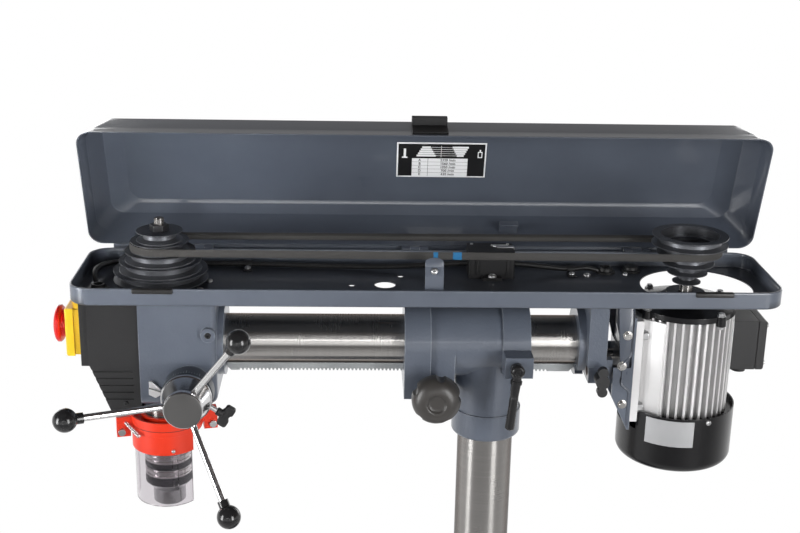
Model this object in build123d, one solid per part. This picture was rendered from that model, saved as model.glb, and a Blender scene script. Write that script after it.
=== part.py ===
from build123d import *
from math import acos, atan2, ceil, cos, degrees, floor, hypot, pi, radians, sin, sqrt, tan
import os

# Bench radial drill. Millimetres. X runs along the ram, with the drilling head at -X and the motor at +X.
# The operator stands at -Y. Everything is drawn about the point where the ram axis crosses the column axis,
# and is lifted by ram_height at the end, so the base stands on Z = 0.

# Fits
running_gap = 0.05
seat_gap = 0.02
pass_gap = 0.4

# Stand
ram_height = 700
base_length = 480
base_width = 300
base_height = 42
base_corner = 28
base_edge = 6
column_to_rear = 140
base_hole_d = 12
base_hole_inset = 30
work_slot_width = 14
work_slot_length = 180
work_slot_spacing = 120
work_slot_from_column = 110
pocket_depth = 22
pocket_wall = 18
flange_d = 156
flange_thickness = 16
flange_neck_d = 100
flange_neck_height = 62
flange_bolt_circle = 134
flange_bolt_count = 4
flange_bolt_d = 10
flange_bolt_head = 16
flange_bolt_head_height = 7
flange_bolt_depth = 22
column_d = 70
column_wall = 5

# Ram and its rack
ram_d = 60
ram_wall = 6
ram_in_head = 20
rack_width = 16
rack_height = 10.2
rack_module = 1.5
rack_plain_left = 13
rack_plain_right = 34
ram_pinion_teeth = 12
ram_pinion_width = 18
tooth_backlash = 0.3
stub_addendum = 0.7
tooth_dedendum = 1.0
pressure_angle = 20

# Swivel housing
sleeve_left = 107
sleeve_right = 47
sleeve_d = 92
collar_d = 100
collar_left_width = 32
collar_right_width = 34
ram_pinion_x = -69
pinion_block_bottom = 61
pinion_block_reach = 24
pinion_block_width = 92
neck_d = 82
socket_d = 87
socket_height = 34
socket_bottom = 123
socket_edge = 4
column_cover = 10
ram_lug_front = 76
ram_lug_top = 4
ram_lug_bottom = 22
ram_lock_drop = 9
swivel_lug_back = 66
swivel_lug_width = 40
swivel_slit = 3
stud_d = 8
lever_hub_d = 16
lever_hub_height = 14
lever_length = 74
lever_root_width = 12
lever_tip_width = 8
lever_thickness = 8
lever_lean_angle = 5

# Hand knob of the ram
knob_d = 60
knob_thickness = 26
knob_standoff = 20
knob_notch_count = 5
knob_notch_d = 14
knob_notch_angle = 81
knob_dimple_d = 21
knob_dimple_depth = 3
knob_edge = 6
ram_shaft_d = 12

# Head casting
spindle_x = -405
head_left = -428
head_right = -335
head_front = 50
head_back = 48
head_bottom = 73
head_edge = 7
ram_boss_d = 92
ram_boss_end = -327
barrel_d = 68
barrel_bottom = 84
clamp_boss_x = -344
clamp_boss_z = 23
clamp_boss_d = 18
clamp_boss_height = 6
clamp_screw_d = 8

# Side cover and switch
cover_left = -489
cover_low_left = -465
cover_bend = 21
cover_bottom = 82
cover_half_width = 45
cover_wall = 2.5
louvre_count = 5
louvre_pitch = 9
louvre_top = 26
louvre_width = 3
louvre_depth = 1.2
louvre_end = 9
switch_base_thickness = 11
switch_base_half_width = 38
switch_base_top = 56
switch_base_bottom = 24
switch_half_width = 30
switch_top = 46
switch_bottom = 12
switch_box_thickness = 8
switch_pin_d = 3
switch_knuckle_d = 6.4
switch_pin_rise = 5
flap_thickness = 10.6
flap_wall = 2
flap_rim = 1.5
rocker_z = 17
rocker_length = 20
rocker_width = 16
rocker_thickness = 6
rocker_pocket_room = 3
stop_d = 46
stop_thickness = 14
stop_collar_d = 34
stop_collar_height = 5
stop_edge = 2
stop_dome = 4
stop_stem_d = 16
stop_travel = 3
stop_z = 17.5

# Quill, spindle and feed
quill_d = 50
quill_top = 46
quill_bottom = 110
quill_nose_d = 56
quill_nose_height = 12
quill_bore_d = 42
quill_travel = 80
feed_module = 2
feed_teeth = 14
feed_gear_width = 30
feed_rack_width = 24
feed_z = -44
feed_shaft_d = 18
bearing_bore_d = 20
bearing_height = 12
spindle_shaft_d = 12
spindle_stub_top = 154
spline_count = 6
spline_width = 2
spline_depth = 1
spindle_nose_d = 24
pulley_sleeve_d = 28
pulley_sleeve_bottom = 48
pulley_bearing_height = 14
pulley_bearing_bottom = 50

# Feed hub, depth ring and handles
ring_d = 62
ring_front = 86
ring_back = 63
hub_neck_d = 28
hub_flange_d = 61
hub_flange_back = 88
hub_flange_thickness = 5
hub_waist_d = 44
hub_face_d = 46.5
hub_face_back = 117
hub_front = 125
hub_bevel = 1.5
feed_boss_d = 52
rod_d = 8
rod_root_front = 104
rod_root_radius = 12
ball_d = 28
ball_radius = 126
ball_front = 170
ball_neck_d = 13
ball_neck_length = 4
rod_in_ball = 12
rod_count = 3
first_rod_angle = 56
depth_screw_angle = -33
depth_screw_d = 6
wing_near = 46
wing_far = 60
wing_width = 28
wing_thickness = 7
pointer_left = -417
pointer_tip = -399
pointer_low = 58
pointer_high = 38
pointer_thickness = 3
pointer_edge = 4
spring_cap_d = 64
spring_cap_height = 20
spring_cap_edge = 3

# Chuck
chuck_d = 59
chuck_top = 146
chuck_collar_height = 20
chuck_sleeve_height = 27
chuck_cone_height = 10
chuck_nose_height = 20
chuck_edge = 2
chuck_taper_d = 18
chuck_taper_end_d = 14.4
chuck_taper_length = 12
chuck_taper_room = 0.2
chuck_nose_d = 41
chuck_core_d = 34
chuck_mouth_d = 27
chuck_mouth_flare = 3
chuck_groove_count = 2
chuck_groove_first = 5
chuck_groove_pitch = 6
chuck_groove_width = 1.2
chuck_groove_depth = 1
jaw_d = 8
jaw_length = 50
jaw_travel = 10
jaw_proud = 5
jaw_circle = 10
jaw_angle = 7
jaw_count = 3

# Chuck guard
guard_collar_d = 90
guard_wall = 2.5
guard_collar_top = 98
guard_collar_bottom = 117
guard_hub_d = 64
guard_web = 4
guard_ear_reach = 63
guard_ear_width = 15
guard_ear_gap = 2
guard_ear_top = 113
guard_ear_bottom = 127
guard_turn_angle = 13.6
guard_bolt_d = 5
guard_bolt_head_d = 9
guard_bolt_radius = 57
guard_bolt_room = 4
band_d = 88
band_bottom = 142
band_start_angle = -190
band_end_angle = -36
visor_thickness = 2
visor_bottom = 214
visor_in_band = 14

# Belt tray and lid
tray_left = -504
tray_right = 344
tray_half = 80.5
tray_floor = 69
tray_rim = 90
tray_corner = 26
tray_bottom_edge = 3
sheet = 1.5
motor_hole_d = 138
motor_hole_shift = 13
spindle_hole_d = 53
peep_hole_d = 26
peep_hole_x = -131
small_hole_d = 8
cable_hole_d = 19
left_hole_x = -172
left_hole_y = -3
right_hole_x = -111
right_hole_y = 33
tab_x = -75
tab_width = 22
tab_bend = 106
tab_top = 120
tab_lean_angle = 20
tab_hole_d = 6
tab_inset = 7.5
tab_foot = 14
hinge_left = -367
hinge_middle = -91
hinge_right = 197
hinge_half_width = 17
hinge_knuckle_half = 6
hinge_knuckle_d = 8
hinge_pin_d = 4
hinge_back = 4.4
lid_gap = 1
lid_overhang = 2
lid_corner = 18
lid_break_height = 22
lid_wall_height = 54
lid_bevel_height = 10
lid_step_height = 3
lid_draft_angle = 11
lid_end_angle = 25
lid_bevel_angle = 45
lid_end_bevel_angle = 62
lid_step_angle = 60
lid_open_angle = 72
handle_x = -77
handle_width = 44
handle_from_rim = 8
handle_length = 40
handle_plate = 3
handle_lip = 12
handle_lip_length = 14
handle_lip_slope = 2
hook_x = 31
hook_width = 24
hook_reach = 16
hook_thickness = 2
hook_rise = 24

# Interlock switch and wiring
interlock_left = -26
interlock_right = 32
interlock_front = 25
interlock_back = 67
interlock_height = 34
interlock_edge = 3
interlock_foot = 4
interlock_foot_reach = 10
interlock_foot_half = 12
cable_d = 6.5
cable_exit_height = 14
cable_entry_gap = 0.8
left_lead_runs = ((-66, 48, 7.4), (-128, 54, 1), (-205, 60, 0), (-290, 64, 1), (-365, 68, 0), (-430, 68, 1))
left_lead_turn = ((-470, 58, 5), (-486, 28, 9), (-487, -8, 9))
left_lead_end = (-468, -40, -15.2)
right_lead_runs = ((66, 48, 6.4), (104, 50, 1), (138, 54, 4.5))
right_lead_end = (170, 56, -16.2)

# Stepped pulleys and V-belt
pulley_top = 138.5
step_pitch = 12.2
step_count = 5
spindle_top_step_r = 28
spindle_step_growth = 7.25
motor_low_step_r = 17.5
belt_step_number = 1
belt_width = 9.6
belt_thickness = 6
belt_proud = 1
belt_flank_angle = 19
belt_side_gap = 0.25
groove_depth = 8
nut_width = 20
nut_height = 7.5
dish_d = 71
dish_depth = 10.5
well_d = 54
well_depth = 22

# Motor
motor_x = 243
motor_top = 43.5
motor_bottom = 84
motor_body_d = 108
fin_tip_d = 125
fin_count = 40
fin_width = 2.6
stator_d = 94
stator_bore_d = 56
stator_top = 10
stator_bottom = 62
rotor_gap = 0.6
motor_shaft_d = 16
motor_shaft_top = 112
motor_shaft_bottom = 124
fan_d = 120
fan_disc = 3
fan_blade_height = 14
fan_blade_count = 8
shield_top = 60
shield_d = 126
shield_rim = 7
shield_edge = 5
shield_boss_d = 48
shield_boss_height = 5
low_shield_height = 12
fan_cover_d = 145
fan_cover_top = 78
fan_cover_bottom = 152
fan_cover_round = 11
fan_cover_wall = 1.6
fan_slot_count = 16
fan_slot_width = 5
fan_slot_inner = 14
fan_slot_outer = 40
pad_plane = 175
pad_thickness = 9
pad_half_width = 46
pad_top = 41
pad_bottom = 92
web_half_width = 38
motor_bolt_d = 8
motor_bolt_head = 13
motor_nut_room = 2
motor_bolt_y = 38
motor_bolt_high = 21
motor_bolt_low = -74
terminal_left = 302
terminal_right = 345
terminal_front = 22
terminal_back = 46
terminal_top = 33
terminal_bottom = 31
terminal_edge = 4
terminal_lid = 12
terminal_seam = 1
gland_x = 323
gland_y = 12
gland_d = 18
gland_height = 14
gland_nut_height = 6
gland_bore_d = 8

# Rear support and motor slide
support_left = 117
support_right = 140
support_half_width = 50
support_low = 18
support_collar_left = 107
support_collar_d = 88
ram_in_support = 20
slide_block_left = 121
slide_block_right = 150
slide_block_half = 40
slide_block_bottom = 43
slide_rod_d = 14
slide_rod_y = 27
slide_rod_z = -31
slide_screw_x = 134
wing_knob_d = 30
bracket_left = 151
bracket_right = 172
bracket_half_width = 42
bracket_top = 60
bracket_low_left = 163
bracket_waist = -8
bracket_bottom = 60
plate_half_width = 46
plate_flange = 2.5
plate_reach = 150
plate_flange_top = 20
plate_flange_low = 58
plate_bottom = 103
plate_top = 45

# Derived places
base_low = -ram_height
base_top = base_low + base_height
ram_r = ram_d / 2
column_r = column_d / 2
ram_left = head_right - ram_in_head
ram_right = support_left + ram_in_support
rack_top = -ram_r - pass_gap
rack_tip = rack_top - rack_height
rack_left = ram_boss_end + pass_gap
rack_right = support_collar_left - pass_gap
ram_pinion_r = rack_module * ram_pinion_teeth / 2
ram_pinion_z = rack_tip + stub_addendum * rack_module - ram_pinion_r
channel_bottom = rack_tip - 2 * pass_gap
column_top = channel_bottom - column_cover
feed_pinion_r = feed_module * feed_teeth / 2
feed_x = spindle_x + quill_d / 2 - stub_addendum * feed_module + feed_pinion_r
flap_face = cover_left - switch_base_thickness - switch_box_thickness - pass_gap - flap_thickness
switch_face = cover_left - switch_base_thickness - switch_box_thickness
switch_pin_x = switch_face + switch_pin_d
switch_pin_z = switch_top + switch_pin_rise
chuck_split = chuck_top + chuck_collar_height
chuck_shoulder = chuck_split + chuck_sleeve_height
chuck_cone_end = chuck_shoulder + chuck_cone_height
chuck_bottom = chuck_cone_end + chuck_nose_height
jaw_tip = chuck_bottom + jaw_proud
hinge_y = tray_half + hinge_back
lid_rim = tray_rim + lid_gap
hinge_centres = (hinge_left, hinge_middle, hinge_right)
spindle_steps = tuple(spindle_top_step_r + spindle_step_growth * number for number in range(step_count))
motor_steps = tuple(motor_low_step_r + spindle_steps[-1] - r for r in spindle_steps)
pulley_bottom = pulley_top - step_pitch * len(spindle_steps)
belt_z = pulley_top - step_pitch * (belt_step_number + 0.5)
tray_inside = tray_floor + sheet
tray_middle = (tray_left + tray_right) / 2
tray_length = tray_right - tray_left


def box(x0, x1, y0, y1, z0, z1):
    return Pos((x0 + x1) / 2, (y0 + y1) / 2, (z0 + z1) / 2) * Box(x1 - x0, y1 - y0, z1 - z0)


def rod_x(r, x0, x1, y, z):
    return Pos((x0 + x1) / 2, y, z) * Rot(0, 90, 0) * Cylinder(r, x1 - x0)


def rod_y(r, y0, y1, x, z):
    return Pos(x, (y0 + y1) / 2, z) * Rot(90, 0, 0) * Cylinder(r, y1 - y0)


def rod_z(r, z0, z1, x, y):
    return Pos(x, y, (z0 + z1) / 2) * Cylinder(r, z1 - z0)


def prism_x(points, x0, x1):
    """Outline in Y and Z, drawn out along X."""
    face = make_face(Plane.YZ.offset(x0) * Polyline(*points, close=True))
    return extrude(face, x1 - x0, dir=(1, 0, 0))


def prism_y(points, y0, y1):
    """Outline in X and Z, drawn out along Y."""
    face = make_face(Plane.XZ.offset(-y1) * Polyline(*points, close=True))
    return extrude(face, y1 - y0, dir=(0, -1, 0))


def turned_z(points, x, y):
    """Outline in radius and Z, turned about an upright axis."""
    face = make_face(Plane.XZ * Polyline(*points, close=True))
    return Pos(x, y, 0) * revolve(face, Axis.Z)


def turned_y(points, x, z):
    """Outline in radius and forward distance (towards -Y), turned about an axis along Y."""
    face = make_face(Plane.XZ * Polyline(*points, close=True))
    return Pos(x, 0, z) * Rot(90, 0, 0) * revolve(face, Axis.Z)


def turned_x(points, y, z):
    """Outline in radius and distance towards -X, turned about an axis along X."""
    face = make_face(Plane.XZ * Polyline(*points, close=True))
    return Pos(0, y, z) * Rot(0, -90, 0) * revolve(face, Axis.Z)


def hex_prism(width, height):
    return extrude(RegularPolygon(width / 2, 6, major_radius=False), height)


def rack_outline(module, first, last, base, tip):
    """Straight-flanked teeth between two gap numbers, as points along the rack and across it.

    Gap 0 is centred on zero. base and tip are the heights of the back and of the tooth tips."""
    pitch = pi * module
    way = 1 if tip > base else -1
    pitch_line = tip - way * stub_addendum * module
    root = pitch_line - way * tooth_dedendum * module
    slope = tan(radians(pressure_angle))
    half_gap = pitch / 4 + tooth_backlash / 4
    tip_half = half_gap + stub_addendum * module * slope
    root_half = half_gap - tooth_dedendum * module * slope
    points = []
    for number in range(first, last + 1):
        middle = number * pitch
        points += [(middle - tip_half, tip), (middle - root_half, root)]
        points += [(middle + root_half, root), (middle + tip_half, tip)]
    return points


def involute_angle(radius, base):
    roll = sqrt(max(radius * radius / (base * base) - 1, 0))
    return roll - atan2(roll, 1)


def pinion_outline(module, teeth):
    """Points of a stub-tooth involute gear with a tooth on the +X side."""
    pitch_r = module * teeth / 2
    base = pitch_r * cos(radians(pressure_angle))
    tip = pitch_r + stub_addendum * module
    root = pitch_r - tooth_dedendum * module
    half = (pi * module / 2 - tooth_backlash / 2) / (2 * pitch_r) + involute_angle(pitch_r, base)
    flank_start = max(base, root)
    flank = [flank_start + (tip - flank_start) * step / 3 for step in range(4)]
    flank_angles = [(r, half - involute_angle(r, base)) for r in flank]
    points = []
    for tooth in range(teeth):
        middle = 2 * pi * tooth / teeth
        low_side = [(root, flank_angles[0][1])] + flank_angles
        for r, a in low_side:
            points.append((r * cos(middle - a), r * sin(middle - a)))
        for r, a in reversed(low_side):
            points.append((r * cos(middle + a), r * sin(middle + a)))
    return points


def pinion_on_y(module, teeth, width, x, z, turn):
    """Gear on an axis along Y, with a tooth pointing to the given angle above +X."""
    face = make_face(Polyline(*pinion_outline(module, teeth), close=True))
    gear = extrude(face, width / 2, both=True)
    return Pos(x, 0, z) * Rot(90, 0, 0) * Rot(0, 0, turn) * gear


# Stand


def make_base():
    middle = column_to_rear - base_length / 2
    outline = RectangleRounded(base_length, base_width, base_corner)
    slab = Pos(middle, 0, base_low) * extrude(outline, base_height)
    slab = fillet(slab.faces().sort_by(Axis.Z)[-1].edges(), base_edge)
    front = column_to_rear - base_length
    pocket_x0 = front + pocket_wall
    pocket_x1 = -flange_d / 2
    pocket_half = base_width / 2 - pocket_wall - base_hole_inset
    pocket_top = base_low + pocket_depth
    slab -= box(pocket_x0 + base_hole_inset, pocket_x1, -pocket_half, pocket_half, base_low, pocket_top)
    slot_x = -work_slot_from_column - work_slot_length / 2
    for side in (-1, 1):
        slot = SlotOverall(work_slot_length, work_slot_width)
        slab -= Pos(slot_x, side * work_slot_spacing / 2, base_low) * extrude(slot, base_height)
    for x in (front + base_hole_inset, column_to_rear - base_hole_inset):
        for side in (-1, 1):
            slab -= rod_z(base_hole_d / 2, base_low, base_top, x, side * (base_width / 2 - base_hole_inset))
    for x, y in flange_bolt_places():
        slab -= rod_z(flange_bolt_d / 2 + seat_gap, base_top - flange_bolt_depth, base_top, x, y)
    return slab


def flange_bolt_places():
    step = 2 * pi / flange_bolt_count
    angles = [step * (number + 0.5) for number in range(flange_bolt_count)]
    return [(flange_bolt_circle / 2 * cos(a), flange_bolt_circle / 2 * sin(a)) for a in angles]


def make_column_flange():
    bore = column_r + seat_gap
    top = base_top + flange_thickness + flange_neck_height
    neck, shoulder = flange_neck_d / 2, base_top + flange_thickness
    rim = flange_d / 2
    outline = [(bore, base_top), (rim, base_top), (rim, shoulder), (neck + base_edge, shoulder)]
    outline += [(neck, shoulder + base_edge), (neck, top - base_edge), (neck - base_edge, top), (bore, top)]
    ring = turned_z(outline, 0, 0)
    for x, y in flange_bolt_places():
        ring -= rod_z(flange_bolt_d / 2 + seat_gap, base_top, base_top + flange_thickness, x, y)
    return ring


def make_column():
    bore = rod_z(column_r - column_wall, base_top, column_top, 0, 0)
    return rod_z(column_r, base_top, column_top, 0, 0) - bore


def make_column_flange_bolts():
    seat = base_top + flange_thickness
    bolts = []
    for x, y in flange_bolt_places():
        shank = rod_z(flange_bolt_d / 2, base_top - flange_bolt_depth, seat, x, y)
        bolts.append(shank + Pos(x, y, seat) * hex_prism(flange_bolt_head, flange_bolt_head_height))
    return Compound(children=bolts)


# Swivel housing and the ram drive


def make_ram_housing():
    left_collar_end = -sleeve_left + collar_left_width
    right_collar_start = sleeve_right - collar_right_width
    block_half = pinion_block_width / 2
    body = rod_x(sleeve_d / 2, -sleeve_left, sleeve_right, 0, 0)
    body += rod_x(collar_d / 2, -sleeve_left, left_collar_end, 0, 0)
    body += rod_x(collar_d / 2, right_collar_start, sleeve_right, 0, 0)
    body += box(-sleeve_left, left_collar_end, -collar_d / 2, collar_d / 2, -pinion_block_bottom, 0)
    block_end = ram_pinion_x + pinion_block_reach
    body += box(-sleeve_left, block_end, -block_half, block_half, -pinion_block_bottom, 0)
    body += rod_z(neck_d / 2, -socket_bottom, 0, 0, 0)
    body += rod_z(socket_d / 2, -socket_bottom, -socket_bottom + socket_height, 0, 0)
    bottom = body.faces().sort_by(Axis.Z)[0]
    body = fillet(bottom.edges(), socket_edge)
    body += box(right_collar_start, sleeve_right, -ram_lug_front, 0, -ram_lug_bottom, ram_lug_top)
    lug_half = swivel_lug_width / 2
    lug_low = -socket_bottom + socket_edge
    lug_high = -socket_bottom + socket_height - socket_edge
    body += box(-lug_half, lug_half, 0, swivel_lug_back, lug_low, lug_high)
    body -= rod_x(ram_r + running_gap, -sleeve_left, sleeve_right, 0, 0)
    channel_half = rack_width / 2 + pass_gap
    body -= box(-sleeve_left, sleeve_right, -channel_half, channel_half, channel_bottom, 0)
    body -= rod_z(column_r + running_gap, -socket_bottom, column_top + pass_gap, 0, 0)
    body -= box(-swivel_slit / 2, swivel_slit / 2, column_r, swivel_lug_back, -socket_bottom, lug_high)
    tip_r = ram_pinion_r + stub_addendum * rack_module
    cavity_half = ram_pinion_width / 2 + pass_gap
    body -= rod_y(tip_r + 2 * pass_gap, -cavity_half, cavity_half, ram_pinion_x, ram_pinion_z)
    body -= rod_y(ram_shaft_d / 2 + running_gap, -collar_d, collar_d, ram_pinion_x, ram_pinion_z)
    body -= rod_y(stud_d / 2 + running_gap, -ram_lug_front, 0, ram_lock_x(), -ram_lock_drop)
    body -= rod_x(stud_d / 2 + running_gap, -lug_half, lug_half, swivel_stud_y(), swivel_stud_z())
    return body


def ram_lock_x():
    return sleeve_right - collar_right_width * 0.5 - 3


def swivel_stud_y():
    return (socket_d / 2 + swivel_lug_back) / 2 + 1


def swivel_stud_z():
    return -socket_bottom + socket_height / 2


def hanging_lever():
    """Clamp lever on the Z axis with its hub at the origin: the arm lies along -Y."""
    hub = Pos(0, 0, lever_hub_height / 2) * Cylinder(lever_hub_d / 2, lever_hub_height)
    root, tip = lever_root_width / 2, lever_tip_width / 2
    corners = [(-root, 0), (-tip, -lever_length), (tip, -lever_length), (root, 0)]
    arm_face = make_face(Polyline(*corners, close=True))
    arm = Pos(0, 0, lever_hub_height - lever_thickness) * extrude(arm_face, lever_thickness)
    end = Pos(0, -lever_length, lever_hub_height - lever_thickness / 2) * Cylinder(tip, lever_thickness)
    return hub + arm + end


def make_ram_lock_lever():
    x, z = ram_lock_x(), -ram_lock_drop
    turn = Rot(90, 0, 0) * Rot(0, 0, -lever_lean_angle)
    lever = Pos(x, -ram_lug_front - pass_gap, z) * turn * hanging_lever()
    upper_side = z + stud_d / 2
    ram_side = sqrt(ram_r * ram_r - upper_side * upper_side)
    return lever + rod_y(stud_d / 2, -ram_lug_front - pass_gap, -ram_side - pass_gap, x, z)


def make_swivel_lock_lever():
    y, z = swivel_stud_y(), swivel_stud_z()
    outside = swivel_lug_width / 2
    turn = Rot(0, 90, 0) * Rot(0, 0, 90 - lever_lean_angle)
    hub = Pos(outside + pass_gap, y, z) * turn * hanging_lever()
    return hub + rod_x(stud_d / 2, -outside, outside + pass_gap, y, z)


def make_ram_pinion_shaft():
    gear = pinion_on_y(rack_module, ram_pinion_teeth, ram_pinion_width, ram_pinion_x, ram_pinion_z, 90)
    front = collar_d / 2 + knob_standoff + knob_thickness - knob_dimple_depth - knob_edge
    return gear + rod_y(ram_shaft_d / 2, -front, pinion_block_width / 2, ram_pinion_x, ram_pinion_z)


def make_ram_feed_knob():
    near = collar_d / 2 + knob_standoff
    far = near + knob_thickness
    r = knob_d / 2
    neck, start = ram_shaft_d, collar_d / 2 + pass_gap
    outline = [(0, start), (neck, start), (neck, near), (r - knob_edge / 2, near)]
    outline += [(r, near + knob_edge / 2), (r, far - knob_edge * 2), (r - knob_edge, far - knob_edge / 2)]
    dimple, dimple_floor = knob_dimple_d / 2, far - knob_dimple_depth
    outline += [(r - 2 * knob_edge, far), (dimple, far), (dimple - 1, dimple_floor), (0, dimple_floor)]
    knob = turned_y(outline, ram_pinion_x, ram_pinion_z)
    shaft_front = far - knob_dimple_depth - knob_edge
    knob -= rod_y(ram_shaft_d / 2 + seat_gap, -shaft_front, -collar_d / 2, ram_pinion_x, ram_pinion_z)
    notch_at = r + knob_notch_d / 4
    for number in range(knob_notch_count):
        a = 2 * pi * number / knob_notch_count + radians(knob_notch_angle)
        x, z = ram_pinion_x + notch_at * cos(a), ram_pinion_z + notch_at * sin(a)
        knob -= rod_y(knob_notch_d / 2, -far, -near, x, z)
    return knob


def make_ram_rack():
    pitch = pi * rack_module
    first = ceil((rack_left + rack_plain_left - ram_pinion_x) / pitch)
    last = floor((rack_right - rack_plain_right - ram_pinion_x) / pitch)
    teeth = rack_outline(rack_module, first, last, rack_top, rack_tip)
    chamfer_drop = rack_height / 2
    points = [(rack_left, rack_top), (rack_left, rack_tip + chamfer_drop)]
    points += [(rack_left + chamfer_drop, rack_tip)]
    points += [(ram_pinion_x + x, z) for x, z in teeth]
    points += [(rack_right - chamfer_drop, rack_tip), (rack_right, rack_tip + chamfer_drop)]
    points += [(rack_right, rack_top)]
    return prism_y(points, -rack_width / 2, rack_width / 2)


def make_ram_tube():
    return rod_x(ram_r, ram_left, ram_right, 0, 0) - rod_x(ram_r - ram_wall, ram_left, ram_right, 0, 0)


# Head


def make_head_casting():
    body = box(head_left, head_right, -head_front, head_back, -head_bottom, tray_floor)
    body = fillet(body.edges().filter_by(Axis.Z).group_by(Axis.X)[-1], head_edge)
    low_right = body.edges().filter_by(Axis.Y).group_by(Axis.X)[-1].sort_by(Axis.Z)[0]
    body = fillet(low_right, 2 * head_edge)
    body += rod_x(ram_boss_d / 2, (head_left + head_right) / 2, ram_boss_end, 0, 0)
    body += rod_z(barrel_d / 2, -barrel_bottom, tray_floor, spindle_x, 0)
    body += rod_y(feed_boss_d / 2, -ring_back + pass_gap, 0, feed_x, feed_z)
    body += rod_y(clamp_boss_d / 2, -head_front - clamp_boss_height, 0, clamp_boss_x, clamp_boss_z)
    body -= rod_x(ram_r + seat_gap, ram_left, ram_boss_end, 0, 0)
    body -= rod_z(quill_d / 2 + running_gap, -barrel_bottom, tray_floor, spindle_x, 0)
    body -= rod_y(feed_shaft_d / 2 + running_gap, -ring_back, head_back, feed_x, feed_z)
    tip_r = feed_pinion_r + stub_addendum * feed_module
    cavity_half = feed_gear_width / 2 + pass_gap
    body -= rod_y(tip_r + 2 * pass_gap, -cavity_half, cavity_half, feed_x, feed_z)
    screw_front = -head_front - clamp_boss_height
    body -= rod_y(clamp_screw_d / 2, screw_front, screw_front + clamp_screw_d, clamp_boss_x, clamp_boss_z)
    return body


def cover_outline(inset):
    left, low_left = cover_left + inset, cover_low_left + inset
    low, top = -cover_bottom + inset, tray_floor - inset
    return [(head_left, top), (left, top), (left, -cover_bend), (low_left, low), (head_left, low)]


def make_head_side_cover():
    body = prism_y(cover_outline(0), -cover_half_width, cover_half_width)
    body -= prism_y(cover_outline(cover_wall), -cover_half_width + cover_wall, cover_half_width - cover_wall)
    body -= rod_z(barrel_d / 2 + pass_gap, -cover_bottom, tray_floor, spindle_x, 0)
    lead_x, lead_y = cable_holes(tray_floor - cover_wall / 2)[0]
    body -= rod_z(cable_hole_d / 2, tray_floor - cover_wall, tray_floor, lead_x, lead_y)
    for number in range(louvre_count):
        z = -louvre_top - number * louvre_pitch
        slope = (cover_low_left - cover_left) / (cover_bottom - cover_bend)
        left = cover_left + max(-z - cover_bend, 0) * slope - louvre_width
        front = -cover_half_width
        body -= box(left, head_left - louvre_end, front, front + louvre_depth, z - louvre_width, z)
    base_x = cover_left - switch_base_thickness
    half = switch_base_half_width
    plate = box(base_x, cover_left, -half, half, -switch_base_bottom, switch_base_top)
    return body + plate


def make_switch_box():
    back = switch_face + switch_box_thickness
    half = switch_half_width
    body = box(switch_face, back, -half, half, -switch_bottom, switch_top)
    ear_in = half * 0.7
    ear_out = ear_in + 6
    ear_r = switch_knuckle_d / 2
    for side in (-1, 1):
        y0, y1 = sorted((side * ear_in, side * ear_out))
        body += rod_y(ear_r, y0, y1, switch_pin_x, switch_pin_z)
        body += box(switch_pin_x - ear_r, switch_pin_x + ear_r, y0, y1, switch_top, switch_pin_z)
    body += rod_y(switch_pin_d / 2, -ear_out, ear_out, switch_pin_x, switch_pin_z)
    pocket_y = rocker_width / 2 + pass_gap
    pocket_z = rocker_length / 2 + rocker_pocket_room
    pocket_x = switch_face + rocker_thickness
    body -= box(switch_face, pocket_x, -pocket_y, pocket_y, rocker_z - pocket_z, rocker_z + pocket_z)
    pin_y = pocket_y + 3
    body -= rod_y(switch_pin_d / 2 + running_gap, -pin_y, pin_y, rocker_pin_x(), rocker_z)
    return body


def rocker_pin_x():
    return switch_face + switch_pin_d


def make_rocker_switch():
    x = rocker_pin_x()
    half = rocker_length / 2
    front = x - rocker_thickness
    back = x + switch_pin_d / 2
    points = [(back, rocker_z - half), (back, rocker_z + half), (front, rocker_z + half)]
    points += [(front + 2, rocker_z), (front, rocker_z - half)]
    body = prism_y(points, -rocker_width / 2, rocker_width / 2)
    pin_y = rocker_width / 2 + pass_gap + 2
    return body + rod_y(switch_pin_d / 2, -pin_y, pin_y, x, rocker_z)


def make_switch_flap():
    half = switch_half_width + flap_rim
    back = switch_face - pass_gap
    low = -switch_bottom - flap_rim
    high = switch_top + flap_rim
    body = box(flap_face, back, -half, half, low, high)
    body = fillet(body.faces().sort_by(Axis.X)[0].edges(), flap_wall * 1.5)
    w = flap_wall
    body -= box(flap_face + w, back, -half + w, half - w, low + w, high - w)
    knuckle_half = switch_half_width * 0.7 - pass_gap
    r = switch_knuckle_d / 2
    arm = [(back - w, high - w), (back - w, switch_pin_z + r), (switch_pin_x, switch_pin_z + r)]
    arm += [(switch_pin_x, switch_pin_z), (back, high)]
    body += prism_y(arm, -knuckle_half, knuckle_half)
    body += rod_y(r, -knuckle_half, knuckle_half, switch_pin_x, switch_pin_z)
    body -= rod_y(switch_pin_d / 2 + running_gap, -knuckle_half, knuckle_half, switch_pin_x, switch_pin_z)
    body -= rod_x(stop_stem_d / 2 + running_gap, flap_face, flap_face + w, 0, stop_z)
    return body


def make_emergency_stop_button():
    gap = stop_travel + pass_gap
    r, near = stop_d / 2, -flap_face + gap
    far = near + stop_thickness
    stem_end = -flap_face - flap_wall - 1
    collar, under = stop_collar_d / 2, near + stop_collar_height
    outline = [(0, stem_end), (stop_stem_d / 2, stem_end), (stop_stem_d / 2, near), (collar, near)]
    outline += [(collar, under), (r - stop_edge, under), (r, under + stop_edge), (r, far - stop_dome)]
    outline += [(r - stop_edge, far - stop_edge), (r - 2 * stop_dome, far), (0, far)]
    return turned_x(outline, 0, stop_z)


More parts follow.
